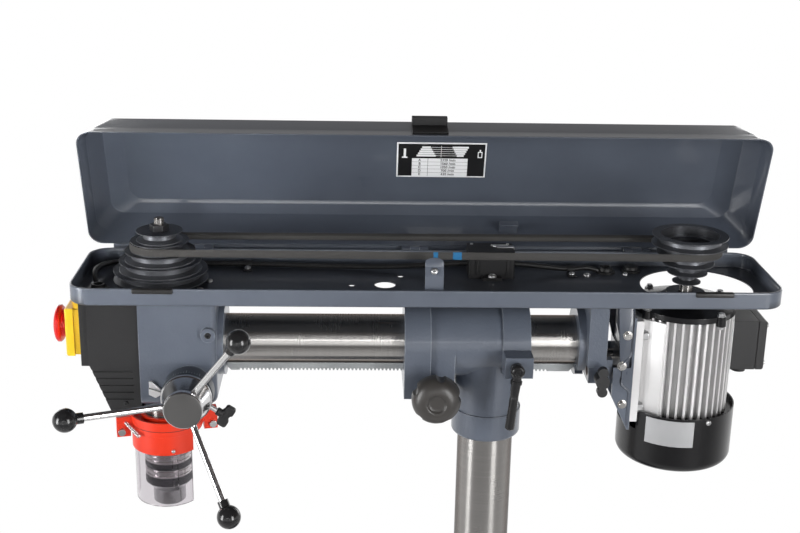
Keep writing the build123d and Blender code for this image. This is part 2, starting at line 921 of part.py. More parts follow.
def make_depth_pointer():
    front = -head_front - pointer_thickness
    middle = -(pointer_low + pointer_high) / 2
    nose = (pointer_tip, middle - pointer_edge)
    low_side = [(pointer_left + 2 * pointer_edge, -pointer_low), (pointer_left, -pointer_low + pointer_edge)]
    points = [(pointer_left, -pointer_high), (pointer_left + pointer_edge, -pointer_high), nose]
    plate = prism_y(points + low_side, front, -head_front)
    ridge = [(pointer_left, middle + pointer_edge / 2), nose]
    return plate + prism_y(ridge + low_side, front - pointer_thickness, front)


def make_return_spring_cap():
    r, e = spring_cap_d / 2, spring_cap_edge
    back = head_back + spring_cap_height
    outline = [(0, -head_back), (r, -head_back), (r, -back + e), (r - e, -back), (feed_shaft_d, -back)]
    outline += [(feed_shaft_d, -back - e), (0, -back - e)]
    cap = turned_y(outline, feed_x, feed_z)
    room = feed_shaft_d / 2 + pass_gap
    return cap - rod_y(room, head_back, back, feed_x, feed_z)


def make_quill():
    body = rod_z(quill_d / 2, -quill_bottom, quill_top, spindle_x, 0)
    body += rod_z(quill_nose_d / 2, -quill_bottom, -quill_bottom + quill_nose_height, spindle_x, 0)
    pitch = pi * feed_module
    count = ceil(quill_travel / pitch) + 1
    points = rack_outline(feed_module, -1, count, -quill_d / 2, stub_addendum * feed_module)
    tip_x = feed_x - feed_pinion_r + stub_addendum * feed_module
    teeth = [(tip_x - stub_addendum * feed_module + depth, feed_z + along) for along, depth in points]
    outside = tip_x + quill_d
    teeth += [(outside, teeth[-1][1]), (outside, teeth[0][1])]
    body -= prism_y(teeth, -feed_rack_width / 2, feed_rack_width / 2)
    body -= rod_z(quill_bore_d / 2, -quill_bottom, quill_top, spindle_x, 0)
    return body


def bearing_floors():
    return (-quill_bottom + 2, quill_top - bearing_height - 2)


def make_spindle_bearings():
    rings = []
    for low in bearing_floors():
        ring = rod_z(quill_bore_d / 2 - seat_gap, low, low + bearing_height, spindle_x, 0)
        rings.append(ring - rod_z(bearing_bore_d / 2 + running_gap, low, low + bearing_height, spindle_x, 0))
    return Compound(children=rings)


def make_spindle():
    r = bearing_bore_d / 2
    shaft_r = spindle_shaft_d / 2
    nose_r = spindle_nose_d / 2
    nose_top = -quill_bottom - pass_gap
    taper_end = -chuck_top - chuck_taper_length
    outline = [(0, taper_end), (chuck_taper_end_d / 2, taper_end), (chuck_taper_d / 2, -chuck_top)]
    outline += [(nose_r, -chuck_top), (nose_r, nose_top), (r, nose_top), (r, quill_top), (shaft_r, quill_top)]
    outline += [(shaft_r, spindle_stub_top - 1), (shaft_r - 1, spindle_stub_top), (0, spindle_stub_top)]
    body = turned_z(outline, spindle_x, 0)
    half = spline_width / 2
    for number in range(spline_count):
        groove = box(shaft_r - spline_depth, shaft_r + 1, -half, half, quill_top, spindle_stub_top)
        body -= Pos(spindle_x, 0, 0) * Rot(0, 0, 360 * number / spline_count) * groove
    return body


def make_pulley_bearing():
    low, high = pulley_bearing_bottom, pulley_bearing_bottom + pulley_bearing_height
    ring = rod_z(quill_d / 2 + running_gap - seat_gap, low, high, spindle_x, 0)
    return ring - rod_z(pulley_sleeve_d / 2 + running_gap, low, high, spindle_x, 0)


def make_feed_shaft():
    gear = pinion_on_y(feed_module, feed_teeth, feed_gear_width, feed_x, feed_z, 180)
    front = hub_flange_back + hub_flange_thickness
    return gear + rod_y(feed_shaft_d / 2, -front, head_back + spring_cap_height - pass_gap, feed_x, feed_z)


def rod_angles():
    return [first_rod_angle + 360 * number / rod_count for number in range(rod_count)]


def along_rod(angle, radius):
    """Point on a handle rod at this distance from the hub axis."""
    lean = (ball_front - rod_root_front) / ball_radius
    x = feed_x + radius * cos(radians(angle))
    z = feed_z + radius * sin(radians(angle))
    return Vector(x, -rod_root_front - lean * radius, z)


def rod_between(angle, near, far, r):
    start, end = along_rod(angle, near), along_rod(angle, far)
    length = (end - start).length
    return Plane(origin=start, z_dir=end - start) * Pos(0, 0, length / 2) * Cylinder(r, length)


def make_feed_hub():
    neck, flange, face = hub_neck_d / 2, hub_flange_d / 2, hub_face_d / 2
    outline = [(0, ring_back), (neck, ring_back), (neck, hub_flange_back), (flange, hub_flange_back)]
    flange_front = hub_flange_back + hub_flange_thickness
    outline += [(flange, flange_front - hub_bevel), (flange - hub_bevel, flange_front)]
    outline += [(hub_waist_d / 2, hub_face_back)]
    outline += [(face, hub_face_back), (face, hub_front - hub_bevel), (face - hub_bevel, hub_front)]
    outline += [(0, hub_front)]
    hub = turned_y(outline, feed_x, feed_z)
    hub -= rod_y(feed_shaft_d / 2 + seat_gap, -flange_front, -ring_back, feed_x, feed_z)
    for angle in rod_angles():
        hub -= rod_between(angle, rod_root_radius, hub_flange_d, rod_d / 2 + seat_gap)
    return hub


def make_feed_rods():
    end = ball_radius - ball_d / 2 + rod_in_ball
    return Compound(children=[rod_between(angle, rod_root_radius, end, rod_d / 2) for angle in rod_angles()])


def make_feed_ball_knobs():
    r, neck, hole = ball_d / 2, ball_neck_d / 2, rod_d / 2 + seat_gap
    neck_start = ball_radius - r - ball_neck_length
    rod_end = ball_radius - r + rod_in_ball
    knobs = []
    for angle in rod_angles():
        start, centre = along_rod(angle, neck_start), along_rod(angle, ball_radius)
        middle, depth = (centre - start).length, (along_rod(angle, rod_end) - start).length
        join = middle - sqrt(r * r - neck * neck)
        outline = [Line((hole, 0), (neck, 0)), Line((neck, 0), (neck, join))]
        outline += [ThreePointArc((neck, join), (r, middle), (0, middle + r))]
        outline += [Line((0, middle + r), (0, depth)), Line((0, depth), (hole, depth))]
        outline += [Line((hole, depth), (hole, 0))]
        knob = revolve(make_face([Plane.XZ * edge for edge in outline]), Axis.Z)
        knobs.append(Plane(origin=start, z_dir=centre - start) * knob)
    return Compound(children=knobs)


def depth_screw_rod(near, far, r):
    a = radians(depth_screw_angle)
    y = -(ring_front + ring_back) / 2
    rod = Pos((near + far) / 2, 0, 0) * Rot(0, 90, 0) * Cylinder(r, far - near)
    return Pos(feed_x, y, feed_z) * Rot(0, -degrees(a), 0) * rod


def make_depth_ring():
    r, e = ring_d / 2, hub_bevel
    bore = hub_neck_d / 2 + running_gap
    outline = [(bore, ring_back), (r - e, ring_back), (r, ring_back + e), (r, ring_front - e)]
    outline += [(r - e, ring_front), (bore, ring_front)]
    ring = turned_y(outline, feed_x, feed_z)
    return ring - depth_screw_rod(hub_neck_d / 2, ring_d, depth_screw_d / 2 + running_gap)


def make_depth_lock_screw():
    stem = depth_screw_rod(hub_neck_d / 2 + pass_gap, wing_near, depth_screw_d / 2)
    y = -(ring_front + ring_back) / 2
    wing = box(wing_near, wing_far, -wing_thickness / 2, wing_thickness / 2, -wing_width / 2, wing_width / 2)
    wing = fillet(wing.edges().filter_by(Axis.Y), wing_thickness / 3)
    return stem + Pos(feed_x, y, feed_z) * Rot(0, -depth_screw_angle, 0) * wing


# Chuck


def chuck_grooves(top):
    """Rings cut round the chuck below this height."""
    r, rings = chuck_d / 2, None
    for number in range(chuck_groove_count):
        z = top - chuck_groove_first - chuck_groove_pitch * number
        ring = rod_z(r + chuck_groove_depth, z - chuck_groove_width, z, spindle_x, 0)
        ring -= rod_z(r - chuck_groove_depth, z - chuck_groove_width, z, spindle_x, 0)
        rings = ring if rings is None else rings + ring
    return rings


def make_chuck_body():
    r, core = chuck_d / 2, chuck_core_d / 2
    socket, socket_end = chuck_taper_d / 2 + seat_gap, chuck_taper_end_d / 2 + seat_gap
    socket_floor = -chuck_top - chuck_taper_length - chuck_taper_room
    core_end = -chuck_shoulder
    outline = [(socket, -chuck_top), (r - chuck_edge, -chuck_top), (r, -chuck_top - chuck_edge)]
    outline += [(r, -chuck_split), (core, -chuck_split), (core, core_end), (0, core_end)]
    outline += [(0, socket_floor), (socket_end, socket_floor)]
    body = turned_z(outline, spindle_x, 0) - chuck_grooves(-chuck_top)
    for number in range(jaw_count):
        body -= jaw_rod(number, jaw_length + jaw_travel + pass_gap, jaw_d / 2 + running_gap, 0)
    return body


def make_chuck_sleeve():
    r, bore = chuck_d / 2, chuck_core_d / 2 + running_gap
    nose, mouth = chuck_nose_d / 2, chuck_mouth_d / 2
    top = -chuck_split - pass_gap
    outline = [(bore, top), (r, top), (r, -chuck_shoulder), (nose, -chuck_cone_end)]
    outline += [(nose, -chuck_bottom + chuck_edge), (nose - chuck_edge, -chuck_bottom)]
    outline += [(mouth, -chuck_bottom), (mouth + chuck_mouth_flare, -chuck_cone_end), (bore, -chuck_shoulder)]
    return turned_z(outline, spindle_x, 0) - chuck_grooves(top)


def jaw_direction(number):
    """Unit vector from a jaw's tip up along its guide."""
    a = 2 * pi * number / jaw_count
    s = sin(radians(jaw_angle))
    return Vector(s * cos(a), s * sin(a), cos(radians(jaw_angle)))


def jaw_rod(number, length, r, below):
    """Round bar on a jaw's guide line, starting this far below the jaw's tip."""
    a = 2 * pi * number / jaw_count
    way = jaw_direction(number)
    tip = Vector(spindle_x + jaw_circle / 2 * cos(a), jaw_circle / 2 * sin(a), -jaw_tip) - way * below
    return Plane(origin=tip, z_dir=way) * Pos(0, 0, length / 2) * Cylinder(r, length)


def make_chuck_jaw(number):
    return jaw_rod(number, jaw_length, jaw_d / 2, 0)


# Chuck guard


def make_guard_collar():
    outer, inner = guard_collar_d / 2, guard_collar_d / 2 - guard_wall
    hub, bore = guard_hub_d / 2, quill_nose_d / 2 + seat_gap
    low = -quill_bottom
    hub_top = low + quill_nose_height
    outline = [(bore, low), (bore, hub_top), (hub, hub_top), (hub, low + guard_web), (inner, low + guard_web)]
    outline += [(inner, -guard_collar_top), (outer, -guard_collar_top), (outer, -guard_collar_bottom)]
    outline += [(inner, -guard_collar_bottom), (inner, low)]
    body = turned_z(outline, spindle_x, 0)
    for side in (-1, 1):
        x0, x1 = sorted((side * (inner + guard_wall / 2), side * guard_ear_reach))
        half = guard_ear_width / 2
        ear = box(x0, x1, -half, half, -guard_collar_bottom, -guard_collar_top - guard_wall)
        bolt_x = side * guard_bolt_radius
        drop = guard_collar_bottom - guard_wall
        x2, x3 = sorted((side * (band_d / 2 + guard_ear_gap), side * guard_ear_reach))
        ear += box(x2, x3, -half, half, -guard_ear_bottom, -drop)
        ear -= rod_y(guard_bolt_d / 2 + seat_gap, -half, half, bolt_x, guard_bolt_z())
        body += Pos(spindle_x, 0, 0) * Rot(0, 0, guard_turn_angle) * ear
    return body


def guard_bolt_z():
    return -(guard_ear_bottom + guard_ear_top) / 2


def make_guard_bolts():
    half = guard_ear_width / 2
    bolts = []
    for side in (-1, 1):
        x, z = side * guard_bolt_radius, guard_bolt_z()
        bolt = rod_y(guard_bolt_d / 2, -half, half + guard_bolt_room, x, z)
        bolt += rod_y(guard_bolt_head_d / 2, -half - guard_bolt_room, -half, x, z)
        bolts.append(Pos(spindle_x, 0, 0) * Rot(0, 0, guard_turn_angle) * bolt)
    return Compound(children=bolts)


def curved_wall(outer, thickness, top, bottom, start, end):
    """Part of an upright round wall about the spindle, between two angles."""
    ring = rod_z(outer, bottom, top, 0, 0) - rod_z(outer - thickness, bottom, top, 0, 0)
    reach = 3 * outer
    steps = 6
    angles = [radians(start + (end - start) * number / steps) for number in range(steps + 1)]
    corners = [(0, 0)] + [(reach * cos(a), reach * sin(a)) for a in angles]
    sector = extrude(make_face(Plane.XY.offset(bottom) * Polyline(*corners, close=True)), top - bottom)
    return Pos(spindle_x, 0, 0) * (ring & sector)


def make_guard_band():
    top = -guard_collar_bottom - pass_gap
    wall = curved_wall(band_d / 2, guard_wall, top, -band_bottom, band_start_angle, band_end_angle)
    lip_r = guard_collar_d / 2 - guard_wall - pass_gap
    lip_low = top - guard_wall
    lip = rod_z(lip_r, lip_low, -quill_bottom - pass_gap, 0, 0)
    lip -= rod_z(lip_r - guard_wall, lip_low, -quill_bottom - pass_gap, 0, 0)
    shelf = rod_z(band_d / 2, lip_low, top, 0, 0) - rod_z(lip_r - guard_wall, lip_low, top, 0, 0)
    return wall + Pos(spindle_x, 0, 0) * (lip + shelf)


def make_guard_visor():
    r = band_d / 2 - guard_wall - seat_gap
    top = -band_bottom + visor_in_band
    return curved_wall(r, visor_thickness, top, -visor_bottom, band_start_angle, band_end_angle)


# Belt tray, lid and wiring


def tray_block(inset, z, edge):
    """The tray's outline, inset all round, drawn up from a height to the rim with a rounded lower edge."""
    outline = RectangleRounded(tray_length - 2 * inset, 2 * (tray_half - inset), tray_corner - inset)
    block = Pos(tray_middle, 0, z) * extrude(outline, tray_rim - z)
    return fillet(block.faces().sort_by(Axis.Z)[0].edges(), edge)


def make_belt_tray():
    body = tray_block(0, tray_floor, tray_bottom_edge)
    body -= tray_block(sheet, tray_inside, tray_bottom_edge - sheet)
    body -= rod_z(spindle_hole_d / 2, tray_floor, tray_inside, spindle_x, 0)
    body -= rod_z(motor_hole_d / 2, tray_floor, tray_inside, motor_x + motor_hole_shift, 0)
    body -= rod_z(peep_hole_d / 2, tray_floor, tray_inside, peep_hole_x, 0)
    for x, y in ((left_hole_x, left_hole_y), (right_hole_x, right_hole_y)):
        body -= rod_z(small_hole_d / 2, tray_floor, tray_inside, x, y)
    for x, y in cable_holes(tray_floor + sheet / 2):
        body -= rod_z(cable_hole_d / 2, tray_floor, tray_inside, x, y)
    front = -tray_half + tab_inset
    half = tab_width / 2
    rise = tab_top - tab_bend
    shift = rise * tan(radians(tab_lean_angle))
    back, foot_end, foot_top = front + sheet, front + tab_foot, tray_inside + sheet
    tab = [(front, tray_floor + sheet / 2), (front, tab_bend), (front + shift, tab_top)]
    tab += [(back + shift, tab_top), (back, tab_bend), (back, foot_top), (foot_end, foot_top)]
    tab += [(foot_end, tray_floor + sheet / 2)]
    plate = prism_x(tab, tab_x - half, tab_x + half)
    plate -= rod_y(tab_hole_d / 2, front, front + tab_foot, tab_x, tab_bend + rise / 3)
    body += plate
    for x in hinge_centres:
        body += tray_hinge(x)
    return body


def cable_holes(level):
    """Where each lead passes a height on its way down through the tray floor."""
    places = []
    for points in (cable_left_points(), cable_right_points()):
        above, below = points[-2], points[-1]
        share = (above[2] - level) / (above[2] - below[2])
        places.append((above[0] + share * (below[0] - above[0]), above[1] + share * (below[1] - above[1])))
    return places


def tray_hinge(x):
    r, half = hinge_knuckle_d / 2, hinge_knuckle_half - pass_gap / 2
    leaf_low, leaf_top = tray_rim - 4 * r, tray_rim - r - lid_gap
    x0, x1 = x - hinge_half_width, x + hinge_half_width
    leaf = box(x0, x1, tray_half, tray_half + sheet, leaf_low, leaf_top)
    leaf += box(x - half, x + half, tray_half, hinge_y, tray_rim - r, tray_rim - lid_gap)
    leaf += rod_x(r, x - half, x + half, hinge_y, tray_rim)
    return leaf - rod_x(hinge_pin_d / 2 + seat_gap, x - half, x + half, hinge_y, tray_rim)


def make_lid_hinge_pins():
    half = hinge_half_width
    pins = [rod_x(hinge_pin_d / 2, x - half, x + half, hinge_y, tray_rim) for x in hinge_centres]
    return Compound(children=pins)


def lid_levels(inset):
    """Rise, lean of the long walls and lean of the ends of the lid's pressed levels, from the rim up."""
    levels = [(lid_break_height, lid_draft_angle, lid_draft_angle)]
    levels += [(lid_wall_height - lid_break_height, lid_draft_angle, lid_end_angle)]
    levels += [(lid_bevel_height, lid_bevel_angle, lid_end_bevel_angle)]
    return levels + [(lid_step_height - inset, lid_step_angle, lid_step_angle)]


def lid_section(length, width, z):
    middle = Pos(tray_middle, -lid_overhang / 2, z)
    return middle * RectangleRounded(length, width, lid_corner)


def lid_pan(inset):
    """The lid's outside, or its inside when inset by the sheet."""
    length = tray_length + 2 * lid_overhang - 2 * inset
    width = 2 * tray_half + lid_overhang - 2 * inset
    z = lid_rim
    pan = None
    for rise, side_angle, end_angle in lid_levels(inset):
        low = lid_section(length, width, z)
        length -= 2 * rise * tan(radians(end_angle))
        width -= 2 * rise * tan(radians(side_angle))
        z += rise
        level = loft([low, lid_section(length, width, z)], ruled=True)
        pan = level if pan is None else pan + level
    return pan


def opened(shape):
    """Lid piece drawn closed, swung up about the hinge pins."""
    return Pos(0, hinge_y, tray_rim) * Rot(-lid_open_angle, 0, 0) * Pos(0, -hinge_y, -tray_rim) * shape


def lid_hinge(x):
    r, outer = hinge_knuckle_d / 2, hinge_half_width
    inner = hinge_knuckle_half + pass_gap / 2
    knuckles = None
    for x0, x1 in ((x - outer, x - inner), (x + inner, x + outer)):
        piece = box(x0, x1, tray_half - sheet, hinge_y, lid_rim, tray_rim + r)
        piece += rod_x(r, x0, x1, hinge_y, tray_rim)
        piece -= rod_x(hinge_pin_d / 2 + running_gap, x0, x1, hinge_y, tray_rim)
        knuckles = piece if knuckles is None else knuckles + piece
    return knuckles


def make_belt_lid():
    body = lid_pan(0) - lid_pan(sheet)
    for x in hinge_centres:
        body += lid_hinge(x)
    rise = lid_rim + hook_rise
    back = tray_half - sheet - hook_rise * tan(radians(lid_draft_angle))
    x0, x1 = hook_x - hook_width / 2, hook_x + hook_width / 2
    body += box(x0, x1, back - hook_reach, back + sheet / 2, rise, rise + hook_thickness)
    body += box(x0, x1, back - hook_reach, back - hook_reach + hook_thickness, rise - hook_reach / 2, rise)
    return opened(body)


def lid_front(z):
    """Outside of the lid's front wall at a height above the rim."""
    return -tray_half - lid_overhang + z * tan(radians(lid_draft_angle))


def make_lid_handle():
    low, high = handle_from_rim, handle_from_rim + handle_length
    lip = high - handle_lip_length
    low_wall, lip_wall, high_wall = lid_front(low), lid_front(lip), lid_front(high)
    points = [(low_wall, lid_rim + low), (low_wall - handle_plate, lid_rim + low)]
    points += [(lip_wall - handle_plate, lid_rim + lip)]
    points += [(lip_wall - handle_lip, lid_rim + lip + handle_lip_slope)]
    points += [(high_wall - handle_lip, lid_rim + high - handle_lip_slope)]
    points += [(high_wall - handle_plate, lid_rim + high), (high_wall, lid_rim + high)]
    return opened(prism_x(points, handle_x - handle_width / 2, handle_x + handle_width / 2))


def make_interlock_switch():
    top = tray_inside + interlock_height
    body = box(interlock_left, interlock_right, interlock_front, interlock_back, tray_inside, top)
    body = fillet(body.edges().filter_by(Axis.Z), interlock_edge)
    middle = (interlock_left + interlock_right) / 2
    reach = interlock_front - interlock_foot_reach
    half, inside = interlock_foot_half, interlock_front + interlock_edge
    foot = box(middle - half, middle + half, reach, inside, tray_inside, tray_inside + interlock_foot)
    entry = interlock_edge + cable_entry_gap
    for x in (interlock_left, interlock_right):
        body -= rod_x(cable_d / 2 + cable_entry_gap, x - entry, x + entry, cable_y(), cable_exit_z())
    return body + foot


def cable_y():
    return (interlock_front + interlock_back) / 2


def cable_exit_z():
    return tray_inside + cable_exit_height


def lead_points(start_x, route):
    """Route of a lead from the interlock switch; heights are counted from where it lies on the tray floor."""
    floor = tray_inside + cable_d / 2 + pass_gap
    return [(start_x, cable_y(), cable_exit_z())] + [(x, y, floor + z) for x, y, z in route]


def cable_left_points():
    """Lead to the head, round the back of the spindle pulley."""
    return lead_points(interlock_left + interlock_edge, left_lead_runs + left_lead_turn + (left_lead_end,))


def cable_right_points():
    """Lead to the motor."""
    return lead_points(interlock_right - interlock_edge, right_lead_runs + (right_lead_end,))


def route_radii(points):
    """A large arc for each corner of a route, from 0.45 of the shorter run beside it."""
    radii = []
    for before, here, after in zip(points, points[1:], points[2:]):
        one, two = Vector(*here) - Vector(*before), Vector(*after) - Vector(*here)
        turn = radians(one.get_angle(two))
        radii.append(0.45 * min(one.length, two.length) / tan(turn / 2))
    return radii


def tube_along(points, d):
    path = FilletPolyline(*points, radius=route_radii(points))
    section = Plane(origin=path @ 0, z_dir=path % 0) * Circle(d / 2)
    return sweep(section, path), path.length


def make_tray_cables():
    tubes = []
    for points in (cable_left_points(), cable_right_points()):
        tube, length = tube_along(points, cable_d)
        share = tube.volume / (pi * cable_d * cable_d / 4 * length)
        print("cable length", round(length), "volume share", round(share, 4))
        print("cable radii", [round(r) for r in route_radii(points)])
        tubes.append(tube)
    return Compound(children=tubes)


# Pulleys and belt


def step_outline(radii, bore):
    """Half section of a stepped pulley with one V-groove in each step, from the top down."""
    slope = tan(radians(belt_flank_angle))
    points = [(bore, pulley_top)]
    for number, r in enumerate(radii):
        top = pulley_top - number * step_pitch
        middle = top - step_pitch / 2
        mouth = belt_width / 2 + belt_side_gap
        floor_half = mouth - groove_depth * slope
        points += [(r, top), (r, middle + mouth), (r - groove_depth, middle + floor_half)]
        points += [(r - groove_depth, middle - floor_half), (r, middle - mouth), (r, top - step_pitch)]
    return points + [(bore, pulley_bottom)]


def make_spindle_pulley():
    bore = spindle_shaft_d / 2 + running_gap
    body = turned_z(step_outline(spindle_steps, bore), spindle_x, 0)
    sleeve = rod_z(pulley_sleeve_d / 2, pulley_sleeve_bottom, pulley_bottom, spindle_x, 0)
    return body + sleeve - rod_z(bore, pulley_sleeve_bottom, pulley_top, spindle_x, 0)


def make_spindle_pulley_nut():
    nut = Pos(spindle_x, 0, pulley_top) * hex_prism(nut_width, nut_height)
    return nut - rod_z(spindle_shaft_d / 2 + running_gap, pulley_top, pulley_top + nut_height, spindle_x, 0)


def make_motor_pulley():
    bore = motor_shaft_d / 2 + seat_gap
    body = turned_z(step_outline(motor_steps, bore), motor_x, 0)
    body -= rod_z(dish_d / 2, pulley_top - dish_depth, pulley_top, motor_x, 0)
    body -= rod_z(well_d / 2, pulley_top - well_depth, pulley_top, motor_x, 0)
    return body - rod_z(bore, pulley_bottom, pulley_top, motor_x, 0)


def make_v_belt():
    """V-belt round the chosen step of both pulleys: two arcs and the two straight strands that touch both."""
    inner_s = spindle_steps[belt_step_number] + belt_proud - belt_thickness
    inner_m = motor_steps[belt_step_number] + belt_proud - belt_thickness
    span = motor_x - spindle_x
    lean = acos((inner_s - inner_m) / span)

    def loop(grow):
        rs, rm = inner_s + grow, inner_m + grow
        s_up = (spindle_x + rs * cos(lean), rs * sin(lean))
        s_low = (s_up[0], -s_up[1])
        m_up = (motor_x + rm * cos(lean), rm * sin(lean))
        m_low = (m_up[0], -m_up[1])
        wire = [Line(s_up, m_up), ThreePointArc(m_up, (motor_x + rm, 0), m_low)]
        wire += [Line(m_low, s_low), ThreePointArc(s_low, (spindle_x - rs, 0), s_up)]
        return make_face(wire)

    wide, narrow = belt_width / 2, belt_width / 2 - belt_thickness * tan(radians(belt_flank_angle))
    rise = wide - narrow
    middle = loop(belt_thickness)
    core = Plane.XY.offset(belt_z - narrow) * middle
    body = extrude(core, 2 * narrow)
    for side in (-1, 1):
        start = Plane.XY.offset(belt_z + side * narrow) * loop(belt_thickness)
        body += extrude(start, side * rise)
    inside = extrude(Plane.XY.offset(belt_z - narrow) * loop(0), 2 * narrow)
    body -= inside
    for side in (-1, 1):
        small = Plane.XY.offset(belt_z + side * narrow) * loop(0)
        large = Plane.XY.offset(belt_z + side * wide) * loop(belt_thickness)
        body -= loft([small, large])
    return body


# Motor and its slide


def make_rear_support():
    body = box(support_left, support_right, -support_half_width, support_half_width, -support_low, tray_floor)
    body += rod_x(support_collar_d / 2, support_collar_left, support_left, 0, 0)
    low_half = slide_block_half
    block_top = -support_low + base_edge
    body += box(slide_block_left, slide_block_right, -low_half, low_half, -slide_block_bottom, block_top)
    body -= rod_x(ram_r + seat_gap, support_collar_left, ram_right, 0, 0)
    room = ram_d / 2 + pass_gap
    body -= rod_x(room, ram_right, slide_block_right, 0, 0)
    for side in (-1, 1):
        bore = slide_rod_d / 2 + running_gap
        body -= rod_x(bore, support_collar_left, slide_block_right, side * slide_rod_y, slide_rod_z)
    body -= rod_y(stud_d / 2 + running_gap, -support_half_width, -slide_rod_y, slide_screw_x, slide_rod_z)
    return body


def make_motor_slide_rods():
    rods = []
    for side in (-1, 1):
        rods.append(rod_x(slide_rod_d / 2, slide_block_left, bracket_right, side * slide_rod_y, slide_rod_z))
    return Compound(children=rods)


def make_slide_lock_screw():
    tip = slide_rod_y + slide_rod_d / 2 + pass_gap
    head_near = support_half_width + pass_gap
    head_far = head_near + wing_knob_d * 0.6
    body = rod_y(stud_d / 2, -head_near, -tip, slide_screw_x, slide_rod_z)
    lobe = wing_knob_d * 0.28
    body += rod_y(lobe, -head_far, -head_near, slide_screw_x, slide_rod_z)
    for way in (-1, 1):
        z = slide_rod_z + way * wing_knob_d * 0.42
        body += rod_y(lobe * 0.75, -head_far, -head_far + lobe, slide_screw_x, z)
        x0, x1 = slide_screw_x - lobe / 2, slide_screw_x + lobe / 2
        z0, z1 = sorted((z, slide_rod_z))
        body += box(x0, x1, -head_far, -head_far + lobe, z0, z1)
    return body


def make_motor_bracket():
    points = [(bracket_left, bracket_top), (bracket_right, bracket_top), (bracket_right, -bracket_bottom)]
    points += [(bracket_low_left, -bracket_bottom), (bracket_low_left, bracket_waist)]
    points += [(bracket_left, bracket_top - (bracket_low_left - bracket_left) * 2)]
    half = bracket_half_width
    body = prism_y(points, -half, half)
    rib = (bracket_right - bracket_left) / 3
    body -= box(bracket_left, bracket_right - rib, -half + rib, half - rib, bracket_waist, bracket_top - rib)
    for side in (-1, 1):
        bore = slide_rod_d / 2 + seat_gap
        body -= rod_x(bore, bracket_left, bracket_right, side * slide_rod_y, slide_rod_z)
    return body


def make_motor_plate():
    body = box(bracket_right, pad_plane, -plate_half_width, plate_half_width, -plate_bottom, plate_top)
    outline = [(bracket_right, -plate_flange_top), (plate_reach, -plate_flange_top)]
    outline += [(plate_reach, -plate_flange_low), (bracket_right, -plate_bottom)]
    for side in (-1, 1):
        y0, y1 = sorted((side * plate_half_width, side * (plate_half_width - plate_flange)))
        body += prism_y(outline, y0, y1)
    for y, z in motor_bolt_places():
        body -= rod_x(motor_bolt_d / 2 + seat_gap, bracket_right, pad_plane, y, z)
    return body


def motor_bolt_places():
    return [(y, z) for y in (-motor_bolt_y, motor_bolt_y) for z in (motor_bolt_high, motor_bolt_low)]


def motor_nut_space(y, z):
    start = pad_plane + pad_thickness
    return rod_x(motor_bolt_head / 2 + motor_nut_room, start, start + 2 * motor_bolt_d, y, z)


def make_motor_bolts():
    bolts = []
    nut_at = pad_plane + pad_thickness
    for y, z in motor_bolt_places():
        bolt = rod_x(motor_bolt_d / 2, bracket_right, nut_at + motor_bolt_d, y, z)
        bolt += Pos(nut_at, y, z) * Rot(0, 90, 0) * hex_prism(motor_bolt_head, motor_bolt_d * 0.8)
        bolts.append(bolt)
    return Compound(children=bolts)


def make_motor_housing():
    ring = Circle(motor_body_d / 2)
    fin_reach = (fin_tip_d - motor_body_d / 2) / 2
    for number in range(fin_count):
        fin = Pos((fin_tip_d + motor_body_d / 2) / 4, 0) * Rectangle(fin_reach, fin_width)
        ring += Rot(0, 0, 360 * (number + 0.5) / fin_count) * fin
    body = Pos(motor_x, 0, -motor_bottom) * extrude(ring, motor_top + motor_bottom)
    pad_end = pad_plane + pad_thickness
    body -= box(pad_plane - fin_tip_d, pad_end, -fin_tip_d, fin_tip_d, -motor_bottom, motor_top)
    body += box(pad_plane, pad_end, -pad_half_width, pad_half_width, -pad_bottom, pad_top)
    body += box(pad_end, motor_x, -web_half_width, web_half_width, -motor_bottom, pad_top)
    for y, z in motor_bolt_places():
        hole = motor_bolt_d / 2 + seat_gap
        body -= rod_x(hole, pad_plane, pad_end, y, z)
        body -= motor_nut_space(y, z)
    front, back, low, high = -terminal_front, terminal_back, -terminal_bottom, terminal_top
    body -= box(terminal_left, motor_x + fin_tip_d, front, back, low, high)
    body += box(motor_x, terminal_left, front, back, low, high)
    body -= rod_z(stator_d / 2 + seat_gap, -motor_bottom, motor_top, motor_x, 0)
    return body


def make_motor_stator():
    ring = rod_z(stator_d / 2, -stator_bottom, stator_top, motor_x, 0)
    return ring - rod_z(stator_bore_d / 2, -stator_bottom, stator_top, motor_x, 0)


def make_motor_rotor():
    r = motor_shaft_d / 2
    core = rod_z(stator_bore_d / 2 - rotor_gap, -stator_bottom, stator_top, motor_x, 0)
    body = core + rod_z(r, -motor_shaft_bottom, motor_shaft_top, motor_x, 0)
    low = -motor_shaft_bottom
    body += rod_z(fan_d / 2, low, low + fan_disc, motor_x, 0)
    for number in range(fan_blade_count):
        blade = box(r / 2, fan_d / 2 - fan_disc, 0, fan_disc, low, low + fan_disc + fan_blade_height)
        body += Pos(motor_x, 0, 0) * Rot(0, 0, 360 * number / fan_blade_count) * blade
    return body


def make_motor_end_shields():
    r, bore = shield_d / 2, motor_shaft_d / 2 + running_gap
    boss, boss_top = shield_boss_d / 2, shield_top + shield_boss_height
    top = [(bore, motor_top), (r, motor_top), (r, motor_top + shield_rim), (boss + shield_edge, shield_top)]
    top += [(boss, shield_top), (boss, boss_top), (bore, boss_top)]
    low_r = fan_cover_d / 2 - fan_cover_wall - seat_gap
    low_top, low_end = -motor_bottom, -motor_bottom - low_shield_height
    low = [(bore, low_top), (low_r, low_top), (low_r, low_end), (bore, low_end)]
    upper = turned_z(top, motor_x, 0)
    lower = turned_z(low, motor_x, 0)
    notch = pad_half_width + pass_gap
    lower -= box(pad_plane - fin_tip_d, pad_plane + pad_thickness, -notch, notch, low_end, low_top)
    return Compound(children=[upper, lower])


